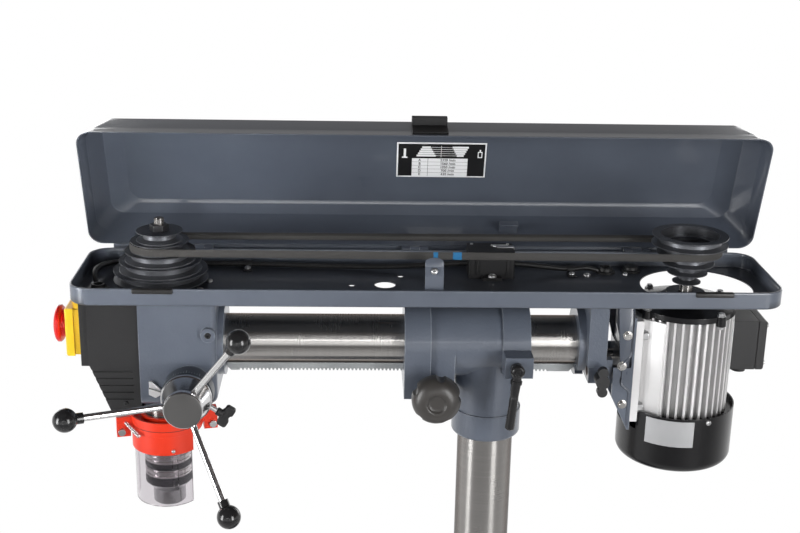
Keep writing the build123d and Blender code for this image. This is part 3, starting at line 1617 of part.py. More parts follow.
def make_motor_fan_cover():
    outer = rod_z(fan_cover_d / 2, -fan_cover_bottom, -fan_cover_top, motor_x, 0)
    outer = fillet(outer.faces().sort_by(Axis.Z)[0].edges(), fan_cover_round)
    w = fan_cover_wall
    inner = rod_z(fan_cover_d / 2 - w, -fan_cover_bottom + w, -fan_cover_top, motor_x, 0)
    inner = fillet(inner.faces().sort_by(Axis.Z)[0].edges(), fan_cover_round - w)
    body = outer - inner
    notch = plate_half_width + pass_gap
    plate_right = pad_plane + pad_thickness + pass_gap
    body -= box(pad_plane - fin_tip_d, plate_right, -notch, notch, -plate_bottom - pass_gap, -fan_cover_top)
    for y, z in motor_bolt_places():
        body -= motor_nut_space(y, z)
    half = fan_slot_width / 2
    for number in range(fan_slot_count):
        slot = box(fan_slot_inner, fan_slot_outer, -half, half, -fan_cover_bottom, -fan_cover_bottom + w)
        body -= Pos(motor_x, 0, 0) * Rot(0, 0, 360 * number / fan_slot_count) * slot
    return body


def make_terminal_box():
    front, back, low, high = -terminal_front, terminal_back, -terminal_bottom, terminal_top
    body = box(terminal_left, terminal_right, front, back, low, high)
    body = fillet(body.faces().sort_by(Axis.X)[-1].edges(), terminal_edge)
    seam = terminal_right - terminal_lid
    grow = 2 * terminal_edge
    t = terminal_seam
    groove = box(seam, seam + t, front - grow, back + grow, low - grow, high + grow)
    groove -= box(seam, seam + t, front + t, back - t, low + t, high - t)
    end = low - gland_height
    gland = rod_z(gland_d / 2, end, low, gland_x, gland_y)
    nut = hex_prism(gland_d + gland_nut_height / 2, gland_nut_height)
    gland += Pos(gland_x, gland_y, low - gland_nut_height) * nut
    gland -= rod_z(gland_bore_d / 2, end, low, gland_x, gland_y)
    return body - groove + gland


nodes = {
    "base": make_base(),
    "column_flange": make_column_flange(),
    "column": make_column(),
    "column_flange_bolts": make_column_flange_bolts(),
    "ram_housing": make_ram_housing(),
    "ram_lock_lever": make_ram_lock_lever(),
    "swivel_lock_lever": make_swivel_lock_lever(),
    "ram_pinion_shaft": make_ram_pinion_shaft(),
    "ram_feed_knob": make_ram_feed_knob(),
    "ram_rack": make_ram_rack(),
    "ram_tube": make_ram_tube(),
    "head_casting": make_head_casting(),
    "head_side_cover": make_head_side_cover(),
    "switch_box": make_switch_box(),
    "rocker_switch": make_rocker_switch(),
    "switch_flap": make_switch_flap(),
    "emergency_stop_button": make_emergency_stop_button(),
    "depth_pointer": make_depth_pointer(),
    "return_spring_cap": make_return_spring_cap(),
    "quill": make_quill(),
    "spindle_bearings": make_spindle_bearings(),
    "spindle": make_spindle(),
    "pulley_bearing": make_pulley_bearing(),
    "feed_shaft": make_feed_shaft(),
    "feed_hub": make_feed_hub(),
    "feed_rods": make_feed_rods(),
    "feed_ball_knobs": make_feed_ball_knobs(),
    "depth_ring": make_depth_ring(),
    "depth_lock_screw": make_depth_lock_screw(),
    "chuck_body": make_chuck_body(),
    "chuck_sleeve": make_chuck_sleeve(),
    "guard_collar": make_guard_collar(),
    "guard_bolts": make_guard_bolts(),
    "guard_band": make_guard_band(),
    "guard_visor": make_guard_visor(),
    "belt_tray": make_belt_tray(),
    "belt_lid": make_belt_lid(),
    "lid_hinge_pins": make_lid_hinge_pins(),
    "lid_handle": make_lid_handle(),
    "interlock_switch": make_interlock_switch(),
    "tray_cables": make_tray_cables(),
    "spindle_pulley": make_spindle_pulley(),
    "spindle_pulley_nut": make_spindle_pulley_nut(),
    "motor_pulley": make_motor_pulley(),
    "v_belt": make_v_belt(),
    "rear_support": make_rear_support(),
    "motor_slide_rods": make_motor_slide_rods(),
    "slide_lock_screw": make_slide_lock_screw(),
    "motor_bracket": make_motor_bracket(),
    "motor_plate": make_motor_plate(),
    "motor_bolts": make_motor_bolts(),
    "motor_housing": make_motor_housing(),
    "motor_stator": make_motor_stator(),
    "motor_rotor": make_motor_rotor(),
    "motor_end_shields": make_motor_end_shields(),
    "motor_fan_cover": make_motor_fan_cover(),
    "terminal_box": make_terminal_box(),
}
for jaw in range(jaw_count):
    nodes[f"chuck_jaw_{jaw + 1}"] = make_chuck_jaw(jaw)

os.makedirs("parts", exist_ok=True)
for name, shape in nodes.items():
    export_step(Pos(0, 0, ram_height) * shape, f"parts/{name}.step")
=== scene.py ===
from contextlib import contextmanager
from functools import partial
from math import acos, atan2, cos, pi, radians, sin, tan

import bmesh
import bpy
from mathutils import Matrix, Vector


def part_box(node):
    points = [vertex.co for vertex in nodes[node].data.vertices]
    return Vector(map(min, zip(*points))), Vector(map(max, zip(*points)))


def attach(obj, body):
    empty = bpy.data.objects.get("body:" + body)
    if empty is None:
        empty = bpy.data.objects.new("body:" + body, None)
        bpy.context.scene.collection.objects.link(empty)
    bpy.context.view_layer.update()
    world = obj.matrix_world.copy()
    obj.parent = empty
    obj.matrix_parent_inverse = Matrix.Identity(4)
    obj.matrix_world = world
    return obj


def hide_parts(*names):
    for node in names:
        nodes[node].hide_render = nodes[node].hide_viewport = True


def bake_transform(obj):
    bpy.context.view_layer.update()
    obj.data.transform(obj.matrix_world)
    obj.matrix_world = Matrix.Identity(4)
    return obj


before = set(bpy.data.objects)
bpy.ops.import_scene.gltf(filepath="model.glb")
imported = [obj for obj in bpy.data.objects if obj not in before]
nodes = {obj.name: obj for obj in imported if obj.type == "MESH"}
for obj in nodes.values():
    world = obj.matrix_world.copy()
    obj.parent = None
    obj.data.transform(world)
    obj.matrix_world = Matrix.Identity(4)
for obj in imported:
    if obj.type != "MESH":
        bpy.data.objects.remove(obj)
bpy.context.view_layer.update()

# The part's own sizes that the pieces here are set against, in millimetres about the ram axis.
RAM_HEIGHT = 700
SPINDLE_X, MOTOR_X = -405, 243
FEED_X, FEED_Z, RING_FRONT, RING_R = -367.4, -44, 86, 31
TRAY_LEFT, TRAY_RIGHT, TRAY_HALF, TRAY_CORNER = -504, 344, 80.5, 26
TRAY_MIDDLE, TRAY_HALF_LENGTH = (TRAY_LEFT + TRAY_RIGHT) / 2, (TRAY_RIGHT - TRAY_LEFT) / 2
TRAY_FLOOR, SHEET = 69, 1.5
TRAY_IN = SHEET / 2 - TRAY_HALF
FLOOR_TOP = TRAY_FLOOR + SHEET
LID_HINGE = (84.9, 90)
LID_OPEN = radians(72)
LID_RIM, LID_OVERHANG, LID_CORNER = 91, 2, 18
LID_LEVELS = ((22, 11, 11), (32, 11, 25), (10, 45, 62), (3, 60, 60))
LID_PANEL = 156.5
HINGES, HINGE_HALF, KNUCKLE_R, KNUCKLE_BORE, KNUCKLE_HALF = (-367, -91, 197), 17, 4, 2.3, 6
HOOK_X, HOOK_WIDTH = 31, 24
INTERLOCK = ((-26, 25, 70.5), (32, 67, 104.5))
BELT_Z, BELT_THICK, BELT_WIDE = 120.2, 6, 9.6
BELT_FLANK = tan(radians(19))
SPINDLE_BELT_R, MOTOR_BELT_R = 30.25, 34.25
PULLEY_TOP, PULLEY_STEP = 138.5, 12.2
CHUCK_NOSE = -192.5
CHUCK_BANDS = ((-148, -161.5), (-170.5, -181), (CHUCK_NOSE, -240))
FAN_COVER_R, SHIELD_BOLT_R, SHIELD_LOW, SHIELD_TOP = 72.5, 62.5, 38.5, 51.2
LEVER_HUB, LEVER_GRIP, LEVER_LENGTH, LEVER_LEAN = 14, 34, 74, radians(5)
LEVER_HUB_R, LEVER_ARM_OUT, LEVER_SCREW_OUT = 8, 9.0, 10.6
WING_ANGLE, WING_Y, WING_NEAR, WING_FAR, WING_HALF = radians(-33), -74.5, 46, 60, 14
TAB_X, TAB_FRONT, TAB_BEND, TAB_LEAN, TAB_HALF = -75, -73, 106, radians(20), 11
PAD_RIGHT, PAD_HALF, PAD_TOP, PAD_BOTTOM, FIN_TIP_R = 184, 46, 41, -92, 62.5
CHEEK_FACE = (-42, -PAD_HALF)
COLLAR_R, COLLAR_LOW, BAND_R = 45, -110, 44
KNOB_PLACE, KNOB_NEAR, KNOB_THICK, KNOB_R = (-69, -48.5), 70, 26, 30
LEAD_D = 6.5
LEFT_LEAD = (
    (-23, 46, 84.5), (-66, 48, 81.55), (-128, 54, 75.15), (-205, 60, 74.15), (-290, 64, 75.15),
    (-365, 68, 74.15), (-430, 68, 75.15), (-470, 58, 79.15), (-486, 28, 83.15), (-487, -8, 83.15),
    (-468, -40, 58.95),
)
RIGHT_LEAD = ((29, 46, 84.5), (66, 48, 80.55), (104, 50, 75.15), (138, 54, 78.65), (170, 56, 57.95))
UP, FRONT, RIGHT = (0, 0, 1), (0, -1, 0), (1, 0, 0)


def at(x, y, z):
    """A point given in millimetres about the ram axis, in the row frame in metres."""
    return Vector((x, y, z + RAM_HEIGHT)) / 1000


def deep_in_x(y, z, x):
    """The place of an outline's point at a depth along X."""
    return at(x, y, z)


def deep_in_y(x, z, y):
    """The place of an outline's point at a depth along Y."""
    return at(x, y, z)


def on_lid(x, y, z):
    """A point of the closed lid, swung up with it to the rest pose."""
    dy, dz = y - LID_HINGE[0], z - LID_HINGE[1]
    c, s = cos(LID_OPEN), sin(LID_OPEN)
    return at(x, LID_HINGE[0] + dy * c + dz * s, LID_HINGE[1] - dy * s + dz * c)


def even_angles(count):
    return [2 * pi * k / count for k in range(count)]


# Node tools


SOCKET = bpy.types.NodeSocket
FLOAT, VECTOR, GEOMETRY = "NodeSocketFloat", "NodeSocketVector", "NodeSocketGeometry"
OBJECT, MATERIAL = "NodeSocketObject", "NodeSocketMaterial"


def add(tree, kind, sockets=None, **settings):
    """One node with its settings, and its inputs set or linked."""
    made = tree.nodes.new(kind)
    for key, value in settings.items():
        setattr(made, key, value)
    for key, value in (sockets or {}).items():
        if isinstance(value, SOCKET):
            tree.links.new(value, made.inputs[key])
        else:
            made.inputs[key].default_value = value
    return made


def linked(node, **values):
    """Links values to a node's inputs."""
    for label, value in values.items():
        node.id_data.links.new(value, node.inputs[label.replace("_", " ")])


def reckon(operation, a, b=0.0):
    """The result of a math node, in the tree of whichever value is a socket."""
    tree = (a if isinstance(a, SOCKET) else b).id_data
    return add(tree, "ShaderNodeMath", {0: a, 1: b}, operation=operation).outputs[0]


plus, minus, times, larger = (partial(reckon, name) for name in ("ADD", "SUBTRACT", "MULTIPLY", "MAXIMUM"))


def ramp(value, low, high, to_low=0.0, to_high=1.0):
    sockets = {"Value": value, "From Min": low, "From Max": high, "To Min": to_low, "To Max": to_high}
    return add(value.id_data, "ShaderNodeMapRange", sockets).outputs["Result"]


def mix(share, one, two):
    """A colour between two others, each a socket or (red, green, blue)."""
    one, two = (c if isinstance(c, SOCKET) else (*c, 1) for c in (one, two))
    return add(share.id_data, "ShaderNodeMix", {0: share, 6: one, 7: two}, data_type="RGBA").outputs[2]


def bump(height, normal, distance, strength=1.0):
    sockets = {"Strength": strength, "Distance": distance, "Height": height, "Normal": normal}
    return add(height.id_data, "ShaderNodeBump", sockets).outputs[0]


def noise(place, **sockets):
    return add(place.id_data, "ShaderNodeTexNoise", {"Vector": place, **sockets}).outputs[0]


def object_place(tree):
    return add(tree, "ShaderNodeTexCoord").outputs["Object"]


def split(vector):
    return add(vector.id_data, "ShaderNodeSeparateXYZ", {0: vector}).outputs


def new_tree(name, kind, inputs, outputs):
    """A node group: its tree, what it is given, its exit and its inputs' identifiers."""
    tree, known = bpy.data.node_groups.new(name, kind), {}
    for label, socket_type, *value in inputs:
        socket = tree.interface.new_socket(label, in_out="INPUT", socket_type=socket_type)
        known[label] = socket.identifier
        if value:
            socket.default_value = value[0]
    for label, socket_type in outputs:
        tree.interface.new_socket(label, in_out="OUTPUT", socket_type=socket_type)
    return tree, tree.nodes.new("NodeGroupInput").outputs, tree.nodes.new("NodeGroupOutput"), known


def make_grain_group():
    """Fine surface grain, slow mottling and softened edges, with a mask of the edges, for wear and for
    painted edge highlights.
    """
    inputs = (("Scale", FLOAT, 900.0), ("Height", FLOAT, 4e-5), ("Edge Size", FLOAT, 8e-4))
    outputs = (("Mottle", FLOAT), ("Speckle", FLOAT), ("Edge", FLOAT), ("Normal", VECTOR))
    tree, given, out, known = new_tree("surface_grain", "ShaderNodeTree", inputs, outputs)
    place = object_place(tree)
    fine = noise(place, Scale=given["Scale"], Detail=3.0)
    slow = noise(place, Scale=11.0, Detail=4.0, Roughness=0.6)
    soft = add(tree, "ShaderNodeBevel", {"Radius": given["Edge Size"]}, samples=4).outputs[0]
    pair = {0: soft, 1: add(tree, "ShaderNodeNewGeometry").outputs["Normal"]}
    match = add(tree, "ShaderNodeVectorMath", pair, operation="DOT_PRODUCT").outputs["Value"]
    patchy = times(ramp(match, 0.99, 0.86), ramp(slow, 0.38, 0.56))
    normal = bump(fine, soft, given["Height"])
    linked(out, Mottle=ramp(slow, 0.3, 0.7), Speckle=fine, Edge=patchy, Normal=normal)
    return tree


def make_turned_group():
    """Fine machining lines: noise drawn out so that it changes quickly along one axis only."""
    inputs = (("Stretch", VECTOR, (400.0, 6.0, 6.0)), ("Height", FLOAT, 1.5e-5))
    outputs = (("Lines", FLOAT), ("Smear", FLOAT), ("Normal", VECTOR))
    tree, given, out, known = new_tree("machined_lines", "ShaderNodeTree", inputs, outputs)
    place = object_place(tree)
    pair = {0: place, 1: given["Stretch"]}
    drawn = add(tree, "ShaderNodeVectorMath", pair, operation="MULTIPLY").outputs[0]
    lines = noise(drawn, Scale=3.0, Detail=5.0, Roughness=0.7)
    smear = noise(place, Scale=24.0, Detail=3.0, Distortion=0.3)
    soft = add(tree, "ShaderNodeBevel", {"Radius": 4e-4}, samples=4).outputs[0]
    linked(out, Lines=lines, Smear=ramp(smear, 0.25, 0.8), Normal=bump(lines, soft, given["Height"]))
    return tree


GRAIN, TURNED = make_grain_group(), make_turned_group()


# Materials


def start(name, **constants):
    """A new material: its tree and its shader, with the values that are the same all over."""
    material = bpy.data.materials.new(name)
    material.use_nodes = True
    shader = material.node_tree.nodes["Principled BSDF"]
    for label, value in constants.items():
        shader.inputs[label.replace("_", " ")].default_value = value
    return material, material.node_tree, shader


def use(tree, source, **sockets):
    """The outputs of a shared node group."""
    made = tree.nodes.new("ShaderNodeGroup")
    made.node_tree = source
    for label, value in sockets.items():
        made.inputs[label.replace("_", " ")].default_value = value
    return made.outputs


def faded(material, share, other):
    """The material, faded to another shader by a share."""
    tree = material.node_tree
    own = tree.nodes["Principled BSDF"].outputs[0]
    both = add(tree, "ShaderNodeMixShader", {0: share, 1: own, 2: other.outputs[0]})
    linked(tree.nodes["Material Output"], Surface=both.outputs[0])
    return material


def coated(name, light, dark, edge_wear_and_highlight, grain, rough, edge=(0.3, 8e-4), crevice_shade=None, **constants):
    """Paint, plastic or rubber in two close tones.

    Fine grain has a scale and a height, edges a share and a size; the edges' colour is wear on most looks
    and a painted highlight on the slate castings. Crevice shade is painted shade: it darkens what lies
    within a distance of other faces, down to a share of the light tone.
    """
    material, tree, shader = start(name, **constants)
    fine = use(tree, GRAIN, Scale=grain[0], Height=grain[1], Edge_Size=edge[1])
    body = mix(fine["Mottle"], dark, light)
    # Edges in the worn colour; on the slate castings that colour is a painted highlight.
    body = mix(times(fine["Edge"], edge[0]), body, edge_wear_and_highlight)
    if crevice_shade:
        reach, dim = crevice_shade
        # Painted shade: the colour darkens where ambient occlusion finds other faces close by.
        openness = add(tree, "ShaderNodeAmbientOcclusion", {"Distance": reach}, samples=8).outputs["AO"]
        body = mix(ramp(openness, 0.55, 0.15), body, [dim * c for c in light])
    share = plus(fine["Mottle"], times(fine["Speckle"], 0.6))
    linked(shader, Base_Color=body, Roughness=ramp(share, 0.2, 1.4, *rough), Normal=fine["Normal"])
    return material


def machined(name, light, dark, stretch, rough, height=1.5e-5, along=None, edge_shade=None, **constants):
    """Bare metal with machining lines and oily smears; its shine is drawn out along an axis.

    Where an edge shade is given, it is painted shade: the metal turns dark and dull where it is seen at a
    flat angle.
    """
    material, tree, shader = start(name, Metallic=1.0, **constants)
    if along:
        turned = {"vector_type": "VECTOR", "convert_from": "OBJECT", "convert_to": "WORLD"}
        linked(shader, Tangent=add(tree, "ShaderNodeVectorTransform", {0: along}, **turned).outputs[0])
    lines = use(tree, TURNED, Stretch=stretch, Height=height)
    metal = mix(ramp(lines["Lines"], 0.3, 0.7), dark, light)
    if edge_shade:
        # Painted shade at the outline: a dark, dull colour where the surface is seen edge-on.
        flat = ramp(add(tree, "ShaderNodeLayerWeight", {"Blend": 0.5}).outputs["Facing"], 0.45, 0.82)
        metal = mix(flat, metal, edge_shade)
        linked(shader, Metallic=minus(1.0, flat), Specular_IOR_Level=ramp(flat, 0.0, 1.0, 0.5, 0.1))
    share = plus(lines["Smear"], times(lines["Lines"], 0.8))
    linked(shader, Base_Color=metal, Roughness=ramp(share, 0.3, 1.5, *rough), Normal=lines["Normal"])
    return material


SLATE_LIGHT, SLATE_DARK, SLATE_WORN = (0.122, 0.142, 0.180), (0.101, 0.118, 0.151), (0.24, 0.25, 0.27)
# The next line is a darker copy of the slate paint: painted shade, worn by the lid, the strip behind it and
# the motor bracket.
SHADED_SLATE_LIGHT, SHADED_SLATE_DARK = (0.090, 0.105, 0.134), (0.076, 0.088, 0.113)
# The first colour on the next line is a painted highlight laid along the slate castings' edges.
SLATE_EDGE_HIGHLIGHT, FLOOR_DARK_TONE, MARK_BLUE = (0.50, 0.53, 0.58), (0.020, 0.022, 0.027), (0.01, 0.18, 0.42)
STEEL, STEEL_DARK = (0.50, 0.485, 0.468), (0.41, 0.40, 0.386)
COLUMN_LIGHT, COLUMN_DARK = (0.42, 0.407, 0.393), (0.33, 0.322, 0.312)
# The last two colours on the next line are painted shade at the outlines of the column and of the chrome
# rods.
STEEL_EDGE, COLUMN_EDGE_SHADE, CHROME_EDGE_SHADE = (0.24, 0.19, 0.17, 1), (0.055, 0.043, 0.038), (0.10, 0.10, 0.105)
CLEAR_COAT = {"Coat_Weight": 0.4, "Coat_Roughness": 0.1}
# In metres: along Y, where the hub's dull face and the belt's front run begin; along X, the middle and half
# length of the belt's paint marks.
HUB_FACE, BELT_FRONT = (-0.1242, -0.1246), (-0.0330, -0.0332)
BELT_MARKS = ((-0.0720, 0.0030), (-0.0460, 0.0055))


def make_tray_paint():
    """Slate powder coat, darkened on the tray's floor and just above it."""
    material, tree, shader = start("slate_powder_coat_darker_on_floor", **CLEAR_COAT)
    grain = use(tree, GRAIN, Scale=1500.0, Height=3.5e-5)
    paint = mix(grain["Mottle"], SLATE_DARK, SLATE_LIGHT)
    paint = mix(times(grain["Edge"], 0.3), paint, SLATE_WORN)
    place = split(object_place(tree))
    low = (FLOOR_TOP + RAM_HEIGHT) / 1000
    floor = ramp(place["Z"], low + 0.009, low + 0.0004)
    inside = ramp(place["Y"], TRAY_IN / 1000 - 0.0002, TRAY_IN / 1000)
    # The tray's floor and the foot of its walls are darkened.
    paint = mix(times(times(floor, inside), 0.72), paint, FLOOR_DARK_TONE)
    rough = ramp(grain["Mottle"], 0.0, 1.0, 0.3, 0.42)
    linked(shader, Base_Color=paint, Roughness=rough, Normal=grain["Normal"])
    return material


def make_pulley():
    """Slate paint on the rims, and bare turned metal in the grooves."""
    material, tree, shader = start("pulley_paint_and_grooves")
    grain = use(tree, GRAIN, Scale=900.0, Height=4e-5)
    down = minus((PULLEY_TOP + RAM_HEIGHT) / 1000, split(object_place(tree))["Z"])
    steps = reckon("DIVIDE", down, PULLEY_STEP / 1000)
    groove = ramp(reckon("ABSOLUTE", minus(reckon("FRACT", steps), 0.5)), 0.43, 0.37)
    paint = mix(grain["Mottle"], (0.026, 0.029, 0.036), (0.040, 0.044, 0.054))
    paint = mix(times(grain["Edge"], 0.6), paint, (0.36, 0.37, 0.39))
    bare = mix(grain["Speckle"], (0.10, 0.105, 0.117), (0.20, 0.207, 0.223))
    rough = ramp(grain["Speckle"], 0.3, 0.7, 0.3, 0.46)
    linked(shader, Base_Color=mix(groove, paint, bare), Metallic=times(groove, 0.75))
    linked(shader, Roughness=rough, Normal=grain["Normal"])
    return material


def make_hub():
    """Polished plate on the feed hub, with its front face dull and dark."""
    material, tree, shader = start("feed_hub_plate", Metallic=1.0)
    lines = use(tree, TURNED, Stretch=(6.0, 500.0, 6.0), Height=4e-6)
    grain = use(tree, GRAIN, Scale=1600.0, Height=6e-5)
    face = ramp(split(object_place(tree))["Y"], *HUB_FACE)
    dull = mix(grain["Speckle"], (0.06, 0.059, 0.059), (0.30, 0.297, 0.292))
    rough = plus(ramp(lines["Smear"], 0.0, 1.0, 0.06, 0.18), ramp(face, 0.0, 1.0, 0.0, 0.34))
    linked(shader, Base_Color=mix(face, (0.62, 0.62, 0.63), dull), Roughness=rough, Normal=grain["Normal"])
    return material


def make_chuck():
    """Blued steel with a fine diamond knurl, between polished bands, and a darker nose."""
    material, tree, shader = start("blued_chuck_with_bright_bands", Metallic=1.0)
    place = split(object_place(tree))
    angle = reckon("ARCTAN2", place["Y"], minus(place["X"], SPINDLE_X / 1000))
    height = minus(place["Z"], RAM_HEIGHT / 1000)
    grain = use(tree, GRAIN, Scale=1200.0, Height=2e-5)
    lines = use(tree, TURNED, Stretch=(8.0, 8.0, 500.0), Height=4e-6)
    bands = []
    for high, low in CHUCK_BANDS:
        under = ramp(height, high / 1000 + 0.0003, high / 1000)
        bands.append(times(under, ramp(height, low / 1000 - 0.0003, low / 1000)))
    bright = larger(larger(bands[0], bands[1]), bands[2])
    turn, climb = times(angle, 60.0), times(height, 2000.0)
    diamonds = larger(reckon("SINE", plus(turn, climb)), reckon("SINE", minus(turn, climb)))
    knurl = times(diamonds, minus(1.0, bright))
    blued = mix(grain["Mottle"], (0.030, 0.031, 0.036), (0.060, 0.062, 0.070))
    steel = mix(lines["Smear"], (0.66, 0.65, 0.64), (0.84, 0.83, 0.82))
    nose = ramp(height, CHUCK_NOSE / 1000 + 0.0003, CHUCK_NOSE / 1000)
    colour = mix(bright, blued, mix(nose, steel, (0.42, 0.42, 0.43)))
    rough = ramp(bright, 0.0, 1.0, 0.34, 0.2)
    linked(shader, Base_Color=colour, Roughness=rough, Normal=bump(knurl, grain["Normal"], 3e-4))
    return material


def make_belt():
    """Rubber with a cloth cover: crossed threads that wear pale, and two paint marks."""
    material, tree, shader = start("cloth_covered_belt")
    grain = use(tree, GRAIN, Scale=1400.0, Height=6e-5)
    place = split(object_place(tree))
    x, z = place["X"], place["Z"]
    threads = larger(*[reckon("SINE", times(way(x, z), 4200.0)) for way in (plus, minus)])
    cloth = mix(grain["Mottle"], (0.034, 0.033, 0.032), (0.060, 0.058, 0.055))
    cloth = mix(times(ramp(threads, 0.4, 1.0), 0.3), cloth, (0.115, 0.111, 0.105))
    front = ramp(place["Y"], *BELT_FRONT)
    wobble = times(minus(grain["Speckle"], 0.5), 0.003)
    for middle, half in BELT_MARKS:
        mark = ramp(plus(reckon("ABSOLUTE", minus(x, middle)), wobble), half, half - 0.0006)
        cloth = mix(times(times(mark, front), 0.85), cloth, MARK_BLUE)
    rough = ramp(grain["Mottle"], 0.0, 1.0, 0.7, 0.9)
    linked(shader, Base_Color=cloth, Roughness=rough, Normal=bump(threads, grain["Normal"], 1.5e-4, 0.6))
    return material


def make_visor():
    """Smoky clear moulded sheet. Light reaches what is behind it."""
    smoke = (0.66, 0.625, 0.655, 1)
    glassy = {"Base_Color": smoke, "Roughness": 0.03, "IOR": 1.46, "Transmission_Weight": 1.0}
    material, tree, shader = start("clear_visor", **glassy)
    linked(shader, Normal=use(tree, GRAIN, Scale=40.0, Height=1.2e-5)["Normal"])
    clear = add(tree, "ShaderNodeBsdfTransparent", {"Color": (0.90, 0.89, 0.91, 1)})
    return faded(material, add(tree, "ShaderNodeLightPath").outputs["Is Shadow Ray"], clear)


def grey(value):
    return (value, value, value)


LOOKS = {
    # Slate castings: their edges carry a painted highlight.
    "slate_cast": coated(
        "slate_paint_on_casting", SLATE_LIGHT, SLATE_DARK, SLATE_EDGE_HIGHLIGHT, (300, 4e-4), (0.26, 0.40),
        edge=(0.8, 1.4e-3), **CLEAR_COAT),
    "slate_sheet": coated(
        "slate_powder_coat", SLATE_LIGHT, SLATE_DARK, SLATE_WORN, (1500, 3.5e-5), (0.3, 0.42), **CLEAR_COAT),
    # Painted shade: the slate paint made darker.
    "slate_shaded": coated(
        "slate_powder_coat_shaded_copy", SHADED_SLATE_LIGHT, SHADED_SLATE_DARK, SLATE_WORN, (1500, 3.5e-5), (0.27, 0.38),
        Coat_Weight=0.6, Coat_Roughness=0.07),
    "slate_tray": make_tray_paint(),
    "depth_paint": coated(
        "dark_blue_ring_paint", (0.030, 0.038, 0.050), (0.021, 0.027, 0.036), (0.2, 0.21, 0.22),
        (900, 4e-5), (0.3, 0.42)),
    "pulley": make_pulley(),
    "hub": make_hub(),
    "chuck": make_chuck(),
    "belt": make_belt(),
    "visor": make_visor(),
    "plate": coated(
        "printed_plate_black", (0.012, 0.012, 0.013), (0.008, 0.008, 0.009), grey(0.1), (500, 1e-5),
        (0.3, 0.42)),
    "ram_steel": machined(
        "ground_ram_steel", STEEL, STEEL_DARK, (420, 3, 3), (0.26, 0.28), 8e-7, (1, 0, 0),
        Anisotropic=0.9, Specular_Tint=STEEL_EDGE),
    # The column's outline carries painted shade.
    "column_steel": machined(
        "ground_column_steel", COLUMN_LIGHT, COLUMN_DARK, (3, 3, 420), (0.26, 0.28), 8e-7, (0, 0, 1),
        COLUMN_EDGE_SHADE, Anisotropic=0.9, Specular_Tint=STEEL_EDGE),
    "bright_steel": machined(
        "turned_bright_steel", (0.66, 0.65, 0.63), (0.5, 0.49, 0.48), (60, 60, 300), (0.2, 0.38)),
    # The rods' outline carries painted shade.
    "chrome": machined(
        "polished_chrome", grey(0.90), grey(0.82), (30, 60, 30), (0.16, 0.26), 3e-6, edge_shade=CHROME_EDGE_SHADE),
    "zinc": coated(
        "zinc_plate", (0.64, 0.645, 0.65), (0.50, 0.505, 0.51), grey(0.7), (420, 3e-5), (0.26, 0.44),
        Metallic=0.95),
    "rack_zinc": coated(
        "zinc_plated_rack", (0.50, 0.52, 0.53), (0.38, 0.40, 0.41), grey(0.62), (700, 4e-5), (0.34, 0.5),
        Metallic=0.7),
    "black_oxide": coated(
        "black_oxide_steel", (0.050, 0.050, 0.054), (0.034, 0.034, 0.037), grey(0.4), (700, 3e-5),
        (0.28, 0.42), edge=(0.8, 6e-4), Metallic=0.6),
    # The motor alloy is painted with shade where faces lie close, as between its fins.
    "motor_alloy": coated(
        "bare_motor_alloy", (0.82, 0.815, 0.815), (0.74, 0.735, 0.735), grey(0.9), (520, 5e-5), (0.34, 0.48),
        crevice_shade=(0.012, 0.62), Metallic=0.3),
    "black_enamel": coated(
        "gloss_black_enamel", (0.008, 0.008, 0.009), (0.005, 0.005, 0.006), grey(0.04), (240, 4e-5),
        (0.16, 0.28)),
    "black_plastic": coated(
        "textured_black_plastic", (0.017, 0.017, 0.018), (0.011, 0.011, 0.012), grey(0.06), (1100, 1.2e-4),
        (0.44, 0.6)),
    "knob_plastic": coated(
        "brown_black_grip_plastic", (0.058, 0.054, 0.050), (0.044, 0.041, 0.039), (0.12, 0.115, 0.11),
        (900, 3e-5), (0.32, 0.42)),
    "charcoal": coated(
        "charcoal_cover_plastic", (0.020, 0.020, 0.021), (0.013, 0.013, 0.014), grey(0.05), (1300, 1.8e-4),
        (0.36, 0.5), edge=(0.2, 6e-4)),
    "gloss_black": coated(
        "polished_black_ball", (0.022, 0.022, 0.023), (0.016, 0.016, 0.017), grey(0.05), (120, 1e-5),
        (0.12, 0.2)),
    "red": coated(
        "orange_red_plastic", (0.90, 0.048, 0.012), (0.82, 0.036, 0.009), (0.95, 0.14, 0.07), (260, 2e-5),
        (0.34, 0.46)),
    "stop_red": coated(
        "stop_button_red", (0.78, 0.014, 0.010), (0.68, 0.010, 0.008), (0.9, 0.12, 0.1), (300, 2e-5),
        (0.26, 0.38)),
    "yellow": coated(
        "switch_yellow_plastic", (0.92, 0.58, 0.018), (0.85, 0.51, 0.014), (0.95, 0.72, 0.2), (600, 4e-5),
        (0.34, 0.46)),
    "rubber": coated("black_cable_rubber", grey(0.022), grey(0.014), grey(0.05), (900, 3e-5), (0.36, 0.5)),
    "winding": coated(
        "stator_iron", (0.16, 0.12, 0.08), (0.1, 0.08, 0.06), (0.3, 0.25, 0.2), (900, 1e-4), (0.45, 0.65)),
    "white_print": coated(
        "white_print", (0.88, 0.89, 0.90), (0.82, 0.83, 0.84), grey(0.8), (800, 4e-6), (0.4, 0.5)),
    "grey_print": coated(
        "grey_scale_print", (0.30, 0.31, 0.32), (0.24, 0.25, 0.26), grey(0.4), (800, 4e-6), (0.4, 0.5)),
    "blank_silver": coated(
        "blank_rating_plate", (0.50, 0.505, 0.515), (0.44, 0.445, 0.455), grey(0.6), (300, 1e-5), (0.3, 0.42),
        Metallic=0.25),
}
